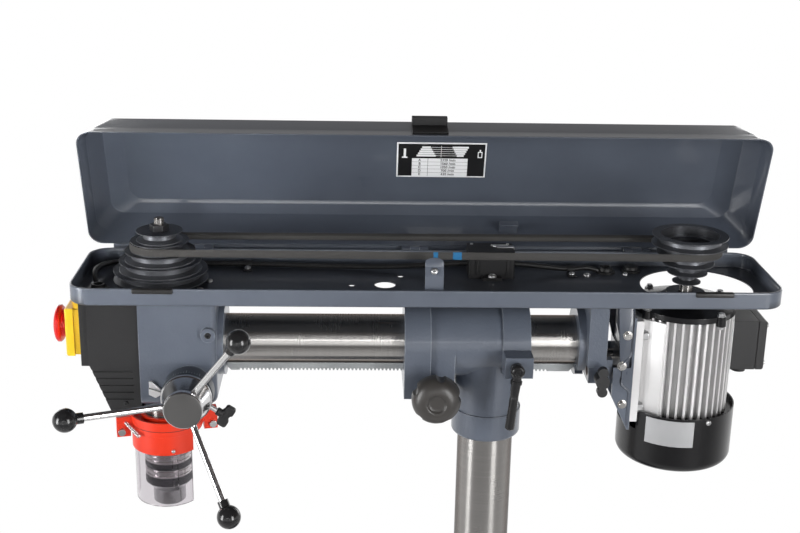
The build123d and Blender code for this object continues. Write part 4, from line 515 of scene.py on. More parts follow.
# The CAD nodes that wear a look.
DRESS = {
    "slate_cast": "base column_flange ram_housing head_casting return_spring_cap rear_support motor_plate",
    "slate_tray": "belt_tray",
    # The bracket wears the darker slate copy, as painted shade.
    "slate_shaded": "motor_bracket",
    "depth_paint": "depth_ring",
    "pulley": "spindle_pulley motor_pulley",
    "hub": "feed_hub",
    "chuck": "chuck_body chuck_sleeve",
    "visor": "guard_visor",
    "ram_steel": "ram_tube motor_slide_rods feed_shaft ram_pinion_shaft",
    "column_steel": "column quill spindle motor_rotor spindle_bearings pulley_bearing",
    "bright_steel": "chuck_jaw_1 chuck_jaw_2 chuck_jaw_3",
    "chrome": "feed_rods",
    "zinc": "column_flange_bolts guard_bolts lid_hinge_pins motor_bolts",
    "rack_zinc": "ram_rack",
    "black_oxide": "spindle_pulley_nut",
    "motor_alloy": "motor_housing depth_pointer",
    "black_enamel": "motor_end_shields motor_fan_cover",
    "black_plastic": "rocker_switch lid_handle interlock_switch slide_lock_screw terminal_box",
    "charcoal": "head_side_cover",
    "gloss_black": "feed_ball_knobs",
    "red": "guard_collar guard_band",
    "stop_red": "emergency_stop_button",
    "yellow": "switch_box switch_flap",
    "winding": "motor_stator",
}


def wear(mesh, look):
    mesh.materials.clear()
    mesh.materials.append(LOOKS[look])


for dress_look, names in DRESS.items():
    for node_name in names.split():
        wear(nodes[node_name].data, dress_look)


# Mesh tools


def drawing(name, data):
    """A new object in the scene."""
    data.name = name
    made = bpy.data.objects.new(name, data)
    bpy.context.scene.collection.objects.link(made)
    return made


@contextmanager
def editing(mesh):
    """An editable copy of the mesh, written back at the end."""
    work = bmesh.new()
    work.from_mesh(mesh)
    yield work
    work.to_mesh(mesh)
    work.free()


def joined(meshes):
    """Several meshes as one."""
    whole = bpy.data.meshes.new("whole")
    with editing(whole) as work:
        for mesh in meshes:
            work.from_mesh(mesh)
            bpy.data.meshes.remove(mesh)
    return whole


def piece(name, shape, look, body, stands_for=None):
    """An object at the origin, of one mesh or a list of them, that wears one look and moves with a body."""
    mesh = joined(shape) if isinstance(shape, list) else shape
    made = drawing(name, mesh)
    wear(mesh, look)
    if body:
        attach(made, body)
    if stands_for:
        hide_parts(stands_for)
    return made


def shade(mesh, smooth=True):
    mesh.polygons.foreach_set("use_smooth", [smooth] * len(mesh.polygons))
    return mesh


def mesh_from(vertices, faces, smooth=True):
    mesh = bpy.data.meshes.new("shape")
    mesh.from_pydata([tuple(v) for v in vertices], [], faces)
    with editing(mesh) as work:
        bmesh.ops.recalc_face_normals(work, faces=work.faces)
    return shade(mesh, smooth)


def sharpen(mesh, degrees=35):
    """Edges that turn more than this stay crisp."""
    with editing(mesh) as work:
        for edge in work.edges:
            edge.smooth = len(edge.link_faces) == 2 and edge.calc_face_angle(0.0) < radians(degrees)
    return mesh


def ring_mesh(sections, closed, crisp=35):
    """Skin over equal sections, each a list of points; closed joins the last section to the first."""
    count, faces = len(sections[0]), []
    for a in range(len(sections) if closed else len(sections) - 1):
        b = (a + 1) % len(sections)
        for i in range(count):
            j = (i + 1) % count
            faces.append((a * count + i, a * count + j, b * count + j, b * count + i))
    if not closed:
        faces.append(tuple(reversed(range(count))))
        faces.append(tuple((len(sections) - 1) * count + i for i in range(count)))
    return sharpen(mesh_from([p for section in sections for p in section], faces), crisp)


def lathe(profile, axis, turns=48):
    """Profile of (radius, height) points turned about a frame's Z axis; ends at radius 0 close up."""
    closed = profile[0] == profile[-1]
    vertices, faces, rows = [], [], []
    for r, h in profile[:-1] if closed else profile:
        count = turns if r else 1
        rows.append([len(vertices) + k % count for k in range(turns)])
        for a in even_angles(count):
            vertices.append(axis @ Vector((r * cos(a) / 1000, r * sin(a) / 1000, h / 1000)))
    if closed:
        rows.append(rows[0])
    for low, high in zip(rows, rows[1:]):
        for k in range(turns):
            m = (k + 1) % turns
            ring = [low[k], low[m], high[m], high[k]]
            face = [v for n, v in enumerate(ring) if v not in ring[:n]]
            if len(face) > 2:
                faces.append(face)
    return sharpen(mesh_from(vertices, faces))


def frame_at(point, facing):
    """A frame at a point with its Z axis along a direction."""
    turn = Vector(facing).to_track_quat("Z", "Y").to_matrix().to_4x4()
    return Matrix.Translation(point) @ turn


def prism(outline, near, far, place=at):
    """Closed prism: an outline of points at two depths."""
    count = len(outline)
    faces = [tuple(reversed(range(count))), tuple(range(count, 2 * count))]
    for i in range(count):
        j = (i + 1) % count
        faces.append((i, j, count + j, count + i))
    return mesh_from([place(*p, depth) for depth in (near, far) for p in outline], faces, False)


def soft_block(outline, near, far, edge, place=at, segments=3):
    """Closed prism with its edges rounded."""
    mesh = prism(outline, near, far, place)
    rounding = {"offset": edge / 1000, "segments": segments, "profile": 0.5, "affect": "EDGES"}
    with editing(mesh) as work:
        bmesh.ops.bevel(work, geom=work.edges, clamp_overlap=True, **rounding)
    return sharpen(shade(mesh), 50)


def box_outline(x0, y0, x1, y1):
    return ((x0, y0), (x1, y0), (x1, y1), (x0, y1))


def slab(low, high, edge, place=at, segments=3):
    """Block between two corners, with rounded edges."""
    (x0, y0, z0), (x1, y1, z1) = low, high
    return soft_block(box_outline(x0, y0, x1, y1), z0, z1, edge, place, segments)


def rounded_ring(half_x, half_y, corner, middle, steps=9):
    """Points round a rectangle with round corners."""
    points = []
    for side_x, side_y, begin in ((1, 1, 0), (-1, 1, 90), (-1, -1, 180), (1, -1, 270)):
        for k in range(steps):
            a = radians(begin + 90 * k / (steps - 1))
            x = middle[0] + side_x * (half_x - corner) + corner * cos(a)
            y = middle[1] + side_y * (half_y - corner) + corner * sin(a)
            points.append((x, y))
    return points


def plain_mesh(made):
    """The object's mesh with its modifiers worked in, as a mesh of its own."""
    bpy.context.view_layer.update()
    seen = made.evaluated_get(bpy.context.evaluated_depsgraph_get())
    return bpy.data.meshes.new_from_object(seen)


# Geometry node tools


def shape_tree(name, inputs):
    """A node tree that takes a mesh and named inputs and gives a mesh."""
    mesh = (("Geometry", GEOMETRY),)
    return new_tree(name, "GeometryNodeTree", (*mesh, *inputs), mesh)


def close_tree(tree, shape, finish, out):
    """The last two steps of every shape tree: real geometry, then its material."""
    real = add(tree, "GeometryNodeRealizeInstances", {"Geometry": shape})
    dressed = add(tree, "GeometryNodeSetMaterial", {"Geometry": real.outputs[0], "Material": finish})
    linked(out, Geometry=dressed.outputs[0])


def named(tree, label, kind):
    return add(tree, "GeometryNodeInputNamedAttribute", {"Name": label}, data_type=kind).outputs["Attribute"]


def sweep(tree, line, outline):
    sockets = {"Curve": line.outputs[0], "Profile Curve": outline.outputs[0], "Fill Caps": True}
    return add(tree, "GeometryNodeCurveToMesh", sockets).outputs[0]


def on_points(tree, given, shape, **more):
    """The shape on every point of the mesh, turned by what the point carries."""
    aim = named(tree, "aim", "QUATERNION")
    sockets = {"Points": given["Geometry"], "Instance": shape, "Rotation": aim, **more}
    return add(tree, "GeometryNodeInstanceOnPoints", sockets).outputs[0]


def make_fastener_tree():
    """One head on every point, also sized by what the point carries."""
    tree, given, out, known = shape_tree("set_fasteners", (("Head", OBJECT), ("Finish", MATERIAL)))
    head = add(tree, "GeometryNodeObjectInfo", {"Object": given["Head"], "As Instance": True})
    heads = on_points(tree, given, head.outputs["Geometry"], Scale=named(tree, "size", "FLOAT"))
    close_tree(tree, heads, given["Finish"], out)
    return tree, known


def make_sweep_tree():
    """A section drawn in another object, carried along the edges of the mesh and kept upright."""
    tree, given, out, known = shape_tree("sweep_section", (("Section", OBJECT), ("Finish", MATERIAL)))
    line = add(tree, "GeometryNodeMeshToCurve", {"Mesh": given["Geometry"]})
    upright = add(tree, "GeometryNodeSetCurveNormal", {"Curve": line.outputs[0]}, mode="Z_UP")
    drawn = add(tree, "GeometryNodeObjectInfo", {"Object": given["Section"]})
    outline = add(tree, "GeometryNodeMeshToCurve", {"Mesh": drawn.outputs["Geometry"]})
    close_tree(tree, sweep(tree, upright, outline), given["Finish"], out)
    return tree, known


def make_spring_tree():
    """A wire coil on every point, along the point's own Z axis."""
    sizes = [(label, FLOAT) for label in ("Coils", "Radius", "Wire", "Length")]
    tree, given, out, known = shape_tree("wire_coil", (*sizes, ("Finish", MATERIAL)))
    sockets = {"Resolution": 18, "Rotations": given["Coils"], "Height": given["Length"]}
    sockets |= {"Start Radius": given["Radius"], "End Radius": given["Radius"]}
    coil = add(tree, "GeometryNodeCurveSpiral", sockets)
    wire = add(tree, "GeometryNodeCurvePrimitiveCircle", {"Resolution": 8, "Radius": given["Wire"]})
    close_tree(tree, on_points(tree, given, sweep(tree, coil, wire)), given["Finish"], out)
    return tree, known


FASTENERS, SWEEP, SPRING = make_fastener_tree(), make_sweep_tree(), make_spring_tree()


def grow(source, vertices, edges, values, frames=(), sizes=()):
    """The plain mesh that a shape tree makes from points or a line."""
    tree, known = source
    seed = bpy.data.meshes.new("seed")
    seed.from_pydata([tuple(v) for v in vertices], edges, [])
    if frames:
        aim = seed.attributes.new("aim", "QUATERNION", "POINT")
        for row, turned in zip(aim.data, frames):
            row.value = turned.to_quaternion()
        size = seed.attributes.new("size", "FLOAT", "POINT")
        for row, number in zip(size.data, sizes):
            row.value = number / 1000
    host = drawing("seed", seed)
    change = host.modifiers.new("shape", "NODES")
    change.node_group = tree
    for label, value in values.items():
        change[known[label]] = value
    mesh = plain_mesh(host)
    host.modifiers.remove(change)
    bpy.data.objects.remove(host)
    bpy.data.meshes.remove(seed)
    return mesh


def loop_edges(count):
    return [(k, (k + 1) % count) for k in range(count)]


def swept(points, closed, outline, look):
    """A section of (out, up) points carried along a line."""
    flat = bpy.data.meshes.new("section")
    flat.from_pydata([(u / 1000, v / 1000, 0.0) for u, v in outline], loop_edges(len(outline)), [])
    section = drawing("section", flat)
    edges = loop_edges(len(points))
    mesh = grow(SWEEP, points, edges if closed else edges[:-1], {"Section": section, "Finish": LOOKS[look]})
    bpy.data.objects.remove(section)
    return shade(mesh)


def round_wire(points, closed, radius, look):
    """A round bar along a line of points."""
    return swept(points, closed, [(radius * cos(a), radius * sin(a)) for a in even_angles(8)], look)


def round_ring(radius, height, angles):
    return [(radius * cos(a), radius * sin(a), height) for a in angles]


def hex_ring(flat, height, angles):
    radii = [flat / cos(((a + pi / 6) % (pi / 3)) - pi / 6) for a in angles]
    return [(r * cos(a), r * sin(a), height) for r, a in zip(radii, angles)]


def make_pan_head():
    """Low domed head with a cross recess, one unit across."""
    arm, half = 0.27, 0.075
    middle = (arm + half) / 2
    quarter = ((arm, 0.0), (arm, half), (middle, half), (half, half), (half, middle), (half, arm))
    cross = []
    for turn in range(4):
        c, s = cos(turn * pi / 2), sin(turn * pi / 2)
        cross += [(x * c - y * s, x * s + y * c) for x, y in quarter]
    angles = [atan2(y, x) for x, y in cross]
    rings = [round_ring(r, h, angles) for r, h in ((0.5, 0.0), (0.5, 0.1), (0.46, 0.22), (0.36, 0.31))]
    rings += [[(x, y, 0.34) for x, y in cross], [(x * 0.8, y * 0.8, 0.12) for x, y in cross]]
    return ring_mesh(rings, False, 40)


def make_bolt_head(*rows):
    """Head from rings of (kind, size, height), one unit across."""
    return ring_mesh([kind(size, height, even_angles(24)) for kind, size, height in rows], False)


def make_tick():
    """A short upright print mark, one unit long."""
    return prism(box_outline(-0.055, -0.5, 0.055, 0.5), -0.02, 0.02, lambda x, y, z: Vector((x, y, z)))


HEADS = {
    "pan": drawing("pan_head", make_pan_head()),
    "socket": drawing("socket_head", make_bolt_head(
        (round_ring, 0.5, 0.0), (round_ring, 0.5, 0.5), (round_ring, 0.46, 0.56),
        (hex_ring, 0.25, 0.56), (hex_ring, 0.25, 0.25))),
    # The hexagon sits on a plain washer, 1.25 units across.
    "hex": drawing("hex_head", make_bolt_head(
        (round_ring, 0.625, 0.0), (round_ring, 0.625, 0.09), (hex_ring, 0.43, 0.09),
        (hex_ring, 0.43, 0.42), (round_ring, 0.4, 0.47))),
    "tick": drawing("tick", make_tick()),
}


def fasten(name, head, frames, sizes, look, body):
    """The same head at every frame; one size for all, or a list."""
    sizes = sizes if isinstance(sizes, list) else [sizes] * len(frames)
    values = {"Head": HEADS[head], "Finish": LOOKS[look]}
    piece(name, grow(FASTENERS, [f.translation for f in frames], [], values, frames, sizes), look, body)


def seats(places, facing):
    return [frame_at(at(*p), facing) for p in places]


# Camera, from a fit to the edges of the photograph


PHOTO_WIDTH, FOCAL_PIXELS, SENSOR = 800, 1303.3, 36.0
CAMERA_PLACE = (-170.65, -1519.36, 592.84)


def make_camera():
    pitch, yaw, roll = radians(18.163), radians(2.174), radians(1.106)
    ahead = Vector((sin(yaw) * cos(pitch), cos(yaw) * cos(pitch), -sin(pitch)))
    level = Vector((cos(yaw), -sin(yaw), 0.0))
    above = level.cross(ahead)
    right = level * cos(roll) + above * sin(roll)
    up = above * cos(roll) - level * sin(roll)
    data = bpy.data.cameras.new("photo_camera")
    data.sensor_width = SENSOR
    data.lens = FOCAL_PIXELS / PHOTO_WIDTH * SENSOR
    data.clip_end = 100.0
    made = drawing("photo_camera", data)
    turn = Matrix((right, up, -ahead)).transposed().to_4x4()
    made.matrix_world = Matrix.Translation(at(*CAMERA_PLACE)) @ turn
    bpy.context.scene.camera = made


make_camera()


# Wiring in the tray


def make_tray_lead(name, route):
    """A round lead from the interlock switch, along the tray and down through the floor."""
    data = bpy.data.curves.new(name, "CURVE")
    data.dimensions = "3D"
    spline = data.splines.new("NURBS")
    spline.points.add(len(route) - 1)
    for point, place in zip(spline.points, route):
        point.co = (*at(*place), 1.0)
    spline.order_u = 3
    spline.use_endpoint_u = True
    spline.resolution_u = 12
    data.bevel_depth = LEAD_D / 2000
    data.bevel_resolution = 4
    data.use_fill_caps = True
    data.materials.append(LOOKS["rubber"])
    lead = drawing(name, data)
    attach(lead, "arm")
    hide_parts("tray_cables")


make_tray_lead("left_tray_lead", LEFT_LEAD)
make_tray_lead("right_tray_lead", RIGHT_LEAD)


# V-belt


def make_v_belt():
    """One closed belt with rounded corners to its section, round the chosen steps of both pulleys."""
    lean = acos((SPINDLE_BELT_R - MOTOR_BELT_R) / (MOTOR_X - SPINDLE_X))
    wraps = ((SPINDLE_X, SPINDLE_BELT_R, lean, 2 * pi - lean), (MOTOR_X, MOTOR_BELT_R, -lean, lean))
    line, steps = [], 40
    for x, r, begin, end in wraps:
        for k in range(steps + 1):
            a = begin + (end - begin) * k / steps
            line.append(at(x + r * cos(a), r * sin(a), BELT_Z))
    wide, narrow = BELT_WIDE / 2, BELT_WIDE / 2 - BELT_THICK * BELT_FLANK
    half = [(0.0, narrow - 0.6), (0.25, narrow - 0.1), (0.7, narrow + 0.15)]
    half += [(BELT_THICK - 1.0, wide - 0.35), (BELT_THICK - 0.3, wide - 0.12), (BELT_THICK, wide - 0.7)]
    outline = [(out, -w) for out, w in half] + half[::-1]
    belt = piece("drive_belt", sharpen(swept(line, True, outline, "belt")), "belt", None, "v_belt")
    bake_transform(belt)


make_v_belt()


# Lid


LID_BEND, LID_BEND_STEPS, LID_LIP = 1.2, 4, 1.2


def lid_profile():
    """Up the lid's wall: (height, inset of long walls, inset of end walls), with rounded bends."""
    corners = [Vector((0.0, 0.0, 0.0))]
    for rise, side, end in LID_LEVELS:
        corners.append(corners[-1] + Vector((rise, rise * tan(radians(side)), rise * tan(radians(end)))))
    corners.append(corners[-1] + Vector((0.0, 16.0, 16.0)))
    points = [corners[0]]
    for before, here, after in zip(corners, corners[1:], corners[2:]):
        reach = min(LID_BEND, 0.45 * (here - before).length, 0.45 * (after - here).length)
        first = here + (before - here).normalized() * reach
        last = here + (after - here).normalized() * reach
        for k in range(LID_BEND_STEPS + 1):
            t = k / LID_BEND_STEPS
            points.append(first.lerp(here, t).lerp(here.lerp(last, t), t))
    return points + [corners[-1]]


def lid_ring(height, side, end, lip):
    half_x = TRAY_HALF_LENGTH + LID_OVERHANG - end + lip
    half_y = TRAY_HALF + LID_OVERHANG / 2 - side + lip / 2
    middle = (TRAY_MIDDLE, -(LID_OVERHANG + lip) / 2)
    return [on_lid(x, y, LID_RIM + height) for x, y in rounded_ring(half_x, half_y, LID_CORNER, middle)]


def make_lid():
    """Pressed sheet lid: drafted walls with soft creases, a stepped panel and a lip round its rim."""
    points = lid_profile()
    slope = points[1] - points[0]
    wall = [(slope * (rise / slope.x), lip) for rise, lip in ((0.0, LID_LIP), (4.5, LID_LIP), (6.5, 0.0))]
    wall += [(p, 0.0) for p in points[1:]]
    outer, inner = [], []
    for n, (p, lip) in enumerate(wall):
        ahead = wall[min(n + 1, len(wall) - 1)][0] - wall[max(n - 1, 0)][0]
        along_side = Vector((ahead.x, ahead.y)).normalized()
        along_end = Vector((ahead.x, ahead.z)).normalized()
        outer.append(lid_ring(p.x, p.y, p.z, lip))
        drop = SHEET * along_side.y if n else 0.0
        inner.append(lid_ring(p.x - drop, p.y + SHEET * along_side.x, p.z + SHEET * along_end.x, lip))
    parts = [ring_mesh(inner[::-1] + outer, False, 50)]
    for middle in HINGES:
        for side in (-1, 1):
            x0, x1 = sorted((middle + side * (KNUCKLE_HALF + 0.3), middle + side * HINGE_HALF))
            curl = box_outline(KNUCKLE_BORE, 0.0, KNUCKLE_R, x1 - x0)
            parts.append(lathe([*curl, curl[0]], frame_at(on_lid(x0, *LID_HINGE), RIGHT), 24))
            parts.append(slab((x0, 79.8, 91.2), (x1, LID_HINGE[0], 93.0), 0.3, on_lid, 2))
    x0, x1 = HOOK_X - HOOK_WIDTH / 2, HOOK_X + HOOK_WIDTH / 2
    parts.append(slab((x0, 58.4, 115.0), (x1, 75.6, 117.0), 0.7, on_lid))
    parts.append(slab((x0, 58.4, 107.0), (x1, 60.4, 116.4), 0.7, on_lid))
    # The lid wears the darker slate copy, as painted shade.
    piece("pressed_lid", parts, "slate_shaded", "lid", "belt_lid")


make_lid()


# Speed plate in the lid


PLATE_X, PLATE_Y = (-115.5, 0.0), (-35.4, 16.5)
PLATE_MIDDLE = (sum(PLATE_X) / 2, sum(PLATE_Y) / 2)
SPEEDS = (("A", "2320"), ("B", "1560"), ("C", "1050"), ("D", "700"), ("E", "430"))
TABLE_LEFT, TABLE_RIGHT, TABLE_TOP, TABLE_ROW = -38.0, 34.0, 2.6, 5.3
# How far each layer of print stands off the panel.
GROUND_LIFT, WHITE_LIFT, LINE_LIFT, LETTER_LIFT = 0.9, 1.05, 1.15, 1.2
PRINT_THICK, LETTER_HALF, LETTER_SIZE = 0.12, 0.06, 4.9


def on_plate(u, v, lift):
    """A point of the speed plate: u to the right, v up the open lid, lift off its face."""
    return on_lid(PLATE_MIDDLE[0] + u, PLATE_MIDDLE[1] - v, LID_PANEL - lift)


def print_block(u0, v0, u1, v1, lift):
    return prism(box_outline(u0, v0, u1, v1), lift - PRINT_THICK, lift, on_plate)


def lettering(words, u, v):
    """Flat mesh letters set on the plate."""
    data = bpy.data.curves.new("letters", "FONT")
    data.body = words
    data.size = LETTER_SIZE
    data.align_x, data.align_y = "CENTER", "CENTER"
    data.extrude = LETTER_HALF
    data.offset = 0.07
    data.resolution_u = 3
    made = drawing("letters", data)
    mesh = plain_mesh(made)
    bpy.data.objects.remove(made)
    for vertex in mesh.vertices:
        x, y, z = vertex.co
        vertex.co = on_plate(u + x, v + y, LETTER_LIFT - LETTER_HALF + z)
    mesh.materials.clear()
    return mesh


def make_speed_plate():
    """White-edged black plate with a pulley diagram and a table of belt steps and speeds."""
    half_u, half_v = (PLATE_X[1] - PLATE_X[0]) / 2, (PLATE_Y[1] - PLATE_Y[0]) / 2
    low, high = (PLATE_X[0], PLATE_Y[0], LID_PANEL - 0.8), (PLATE_X[1], PLATE_Y[1], LID_PANEL)
    table_foot = TABLE_TOP - 5 * TABLE_ROW
    marks = [(TABLE_LEFT, table_foot, TABLE_RIGHT, TABLE_TOP)]
    for n in range(5):
        top, drop = 20.5 - n * 3.1, 2.7
        wide, slim = 5.5 + 1.7 * n, 10.5 - 1.5 * n
        marks.append((-20.0 - wide, top - drop, -20.0 + wide, top))
        marks.append((24.0 - slim, top - drop, 24.0 + slim, top))
        marks.append((-20.0 + wide, top - 1.6, 24.0 - slim, top - 1.1))
    marks += [(-1.0, 4.4, -0.4, 21.5), (-49, 4, -46, 17), (-51, 3, -44, 5)]
    marks += [(46.5, 4, 52.5, 13), (48.5, 13, 50.5, 16)]
    white = [slab(low, high, 0.3, on_lid, 2)] + [print_block(*mark, WHITE_LIFT) for mark in marks]
    black = [print_block(-half_u + 2.0, -half_v + 2.0, half_u - 2.0, half_v - 2.0, GROUND_LIFT)]
    black.append(print_block(-17.6, table_foot, -17.2, TABLE_TOP, LINE_LIFT))
    black.append(print_block(47.7, 5.2, 51.3, 11.8, LINE_LIFT))
    for n, (letter, speed) in enumerate(SPEEDS):
        middle, line = TABLE_TOP - (n + 0.5) * TABLE_ROW, TABLE_TOP - n * TABLE_ROW
        black.append(lettering(letter, -28.0, middle))
        black.append(lettering(speed + " /min", 8.5, middle))
        if n:
            black.append(print_block(TABLE_LEFT, line - 0.12, TABLE_RIGHT, line + 0.12, LINE_LIFT))
    piece("speed_plate", white, "white_print", "lid")
    piece("speed_plate_print", black, "plate", "lid")


make_speed_plate()


# Tray trim


def make_rim_hem():
    """The tray's folded rim: twice the sheet's thickness, with a round top."""
    outline = ((-0.25, 88.2), (-0.25, 89.8), (0.0, 90.2), (0.5, 90.45), (2.2, 90.45))
    outline += ((2.75, 90.2), (3.0, 89.7), (3.0, 85.2), (1.4, 85.2), (1.4, 88.2))
    rings = []
    for inset, z in outline:
        half_x, half_y = TRAY_HALF_LENGTH - inset, TRAY_HALF - inset
        ring = rounded_ring(half_x, half_y, TRAY_CORNER - inset, (TRAY_MIDDLE, 0))
        rings.append([at(x, y, z) for x, y in ring])
    piece("tray_rim_hem", ring_mesh(rings, True, 40), "slate_sheet", "arm")


def make_dust_strip():
    """Bent strip on the back of the tray that closes the gap behind the hinges."""
    foot = slab((-478, TRAY_HALF - 0.2, 78.0), (318, 90.6, 79.2), 0.4)
    wall = slab((-478, 89.4, 78.0), (318, 90.6, 93.2), 0.5)
    # The strip wears the darker slate copy, as painted shade.
    piece("rear_dust_strip", [foot, wall], "slate_shaded", "arm")


def make_rim_pads():
    """Soft pads over the front rim, where the lid comes down."""
    ends = ((-428, -380), (234, 280))
    pads = [slab((x0, -83.0, 84.5), (x1, -76.6, 90.95), 2.0, at, 4) for x0, x1 in ends]
    piece("rim_pads", pads, "rubber", "arm")


def on_tab(x, rise, off):
    """A point of the catch tab: rise up its leaning face from the bend, off it towards the front."""
    y = TAB_FRONT + rise * sin(TAB_LEAN) - off * cos(TAB_LEAN)
    return at(TAB_X + x, y, TAB_BEND + rise * cos(TAB_LEAN) + off * sin(TAB_LEAN))


def make_tab_top():
    """Round end of the catch tab."""
    outline = [(-TAB_HALF, 11.0), (TAB_HALF, 11.0)]
    for k in range(13):
        a = pi * k / 12
        outline.append((TAB_HALF * cos(a), 15.5 + 6.5 * sin(a) ** 0.8))
    piece("catch_tab_top", soft_block(outline, 0.06, -SHEET - 0.06, 0.35, on_tab, 2), "slate_sheet", "arm")


CLIPS = ((-304, 64.2, 75.0, -1), (106.5, 50.2, 75.6, -1))
CLIP_SCREW_REACH, CLIP_FOOT = 11.5, 2.4
# Where the bushings stand in the tray floor, with their bores; the last one is blanked off.
BUSHINGS = ((-476.5, -25.7, 5.4), (152, 55, 5.4), (186, 61, 0.0))


def make_lead_clips():
    """Saddles that hold the leads to the tray floor, each with a foot for its screw."""
    parts = []
    inner, outer = LEAD_D / 2 + 0.1, LEAD_D / 2 + 1.7
    for x, y, z, side in CLIPS:
        over, back = [radians(-40 + 26 * k) for k in range(11)], [radians(220 - 26 * k) for k in range(11)]
        arc = [(y + outer * cos(a), z + outer * sin(a)) for a in over]
        arc += [(y + inner * cos(a), z + inner * sin(a)) for a in back]
        parts.append(soft_block(arc, x - 5, x + 5, 0.4, deep_in_x, 2))
        y0, y1 = sorted((y + side * (LEAD_D / 2), y + side * (CLIP_SCREW_REACH + 6)))
        parts.append(slab((x - 5.5, y0, FLOOR_TOP), (x + 5.5, y1, FLOOR_TOP + CLIP_FOOT), 0.8))
    piece("lead_clips", parts, "black_plastic", "arm")


def make_lead_bushings():
    """Rubber bushings where the leads pass the tray floor, and one that is blanked off."""
    parts = []
    for x, y, bore in BUSHINGS:
        profile = [(bore, 0.0), (12.6, 0.0), (12.6, 1.6), (11.8, 2.4), (9.4, 2.6), (8.6, 6.5), (7.4, 7.6)]
        profile += [(bore, 7.6), (bore, 0.0)] if bore else [(4.0, 7.8), (0.0, 7.9)]
        parts.append(lathe(profile, frame_at(at(x, y, FLOOR_TOP), UP), 32))
    piece("lead_bushings", parts, "rubber", "arm")


def make_interlock_trim():
    """Ribs and a cap line on the interlock switch, and the bent key on its top."""
    (x0, y0, z0), (x1, y1, z1) = INTERLOCK
    parts = [slab((x0 - 0.5, y0 - 0.5, z1 - 8), (x1 + 0.5, y1 + 0.5, z1 - 6.6), 0.4)]
    for x in (x0 + 11, x1 - 9):
        parts.append(slab((x - 1.6, y0 - 1.8, z0 + 5), (x + 1.6, y0 + 1, z1 - 9), 0.7))
    piece("interlock_ribs", parts, "black_plastic", "arm")
    flat = slab((11, 46, z1 - 0.2), (33, 53, z1 + 1.3), 0.4)
    turned_up = slab((31.4, 46, z1 - 5), (33, 53, z1 + 1.3), 0.4)
    tongue = slab((4, 54, z1 - 0.2), (26, 57, z1 + 1.6), 0.4)
    piece("interlock_key", [flat, turned_up, tongue], "zinc", "arm")


make_rim_hem()
make_dust_strip()
make_rim_pads()
make_tab_top()
make_lead_clips()
make_lead_bushings()
make_interlock_trim()


# Clamp levers, wing screw, guard trim and knob


def lever_sections():
    """Along a clamp lever: (place, width, thickness, knurl) from the hub to the end of its grip."""
    neck = ((3, 13.0), (9, 11.6), (11, 11.6), (12, 14.4), (16, 14.4), (17, 11.8), (26, 11.0))
    neck += ((LEVER_GRIP - 1, 10.2),)
    rows = [(place, width, width - 2.2, 0.0) for place, width in neck]
    for k in range(27):
        place = LEVER_GRIP + k * (LEVER_LENGTH - LEVER_GRIP) / 26
        rows.append((place, 9.8 + 1.4 * k / 26, 8.6 + 0.6 * k / 26, 0.5 if k % 2 else -0.5))
    for past, share in ((1.2, 0.9), (2.2, 0.7), (2.9, 0.4)):
        rows.append((LEVER_LENGTH + past, 11.0 * share, 9.2 * share, 0.0))
    return rows


def make_clamp_lever(name, seat, out, along, body, node):
    """Clamp lever: a domed hub, a collared neck and a knurled hand grip."""
    out, along = Vector(out), Vector(along).normalized()
    across = along.cross(out)
    hub = [(0.0, 0.0), (7.4, 0.0), (8.0, 0.7), (8.0, 4.2), (7.0, 5.2), (7.0, 6.0), (8.6, 7.4), (8.8, 10.4)]
    hub += [(8.0, 12.6), (6.4, LEVER_HUB), (4.6, LEVER_HUB), (4.2, 13.0), (0.0, 13.0)]
    rings = []
    for place, width, thick, knurl in lever_sections():
        ring = []
        for k, a in enumerate(even_angles(20)):
            ridge = knurl if k % 2 else -knurl
            x, z = (width / 2 + ridge) * cos(a), (thick / 2 + ridge) * sin(a) + LEVER_ARM_OUT
            ring.append(seat + (across * x + along * place + out * z) / 1000)
        rings.append(ring)
    parts = [lathe(hub, frame_at(seat, out), 40), ring_mesh(rings, False, 25)]
    piece(name, parts, "gloss_black", body, node)
    screw = frame_at(seat + out * (LEVER_SCREW_OUT / 1000), out)
    fasten(name + "_screw", "socket", [screw], 6.4, "gloss_black", body)


def make_levers():
    lean, drop = sin(LEVER_LEAN), cos(LEVER_LEAN)
    seat = at(27, -76.4, -9)
    make_clamp_lever("ram_clamp_lever", seat, FRONT, (-lean, 0, -drop), "ram_lock", "ram_lock_lever")
    low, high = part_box("swivel_lock_lever")
    hub, radius = LEVER_HUB / 1000, LEVER_HUB_R / 1000
    seat = Vector((high[0] - hub, high[1] - radius, high[2] - radius))
    make_clamp_lever("swivel_clamp_lever", seat, RIGHT, (0, -lean, -drop), "swivel_lock", "swivel_lock_lever")


def on_wing(reach, side, near):
    """A point of the depth ring's wing screw: reach along its axis, side across, near to the front."""
    c, s = cos(WING_ANGLE), sin(WING_ANGLE)
    return at(FEED_X + reach * c - side * s, WING_Y - near, FEED_Z + reach * s + side * c)


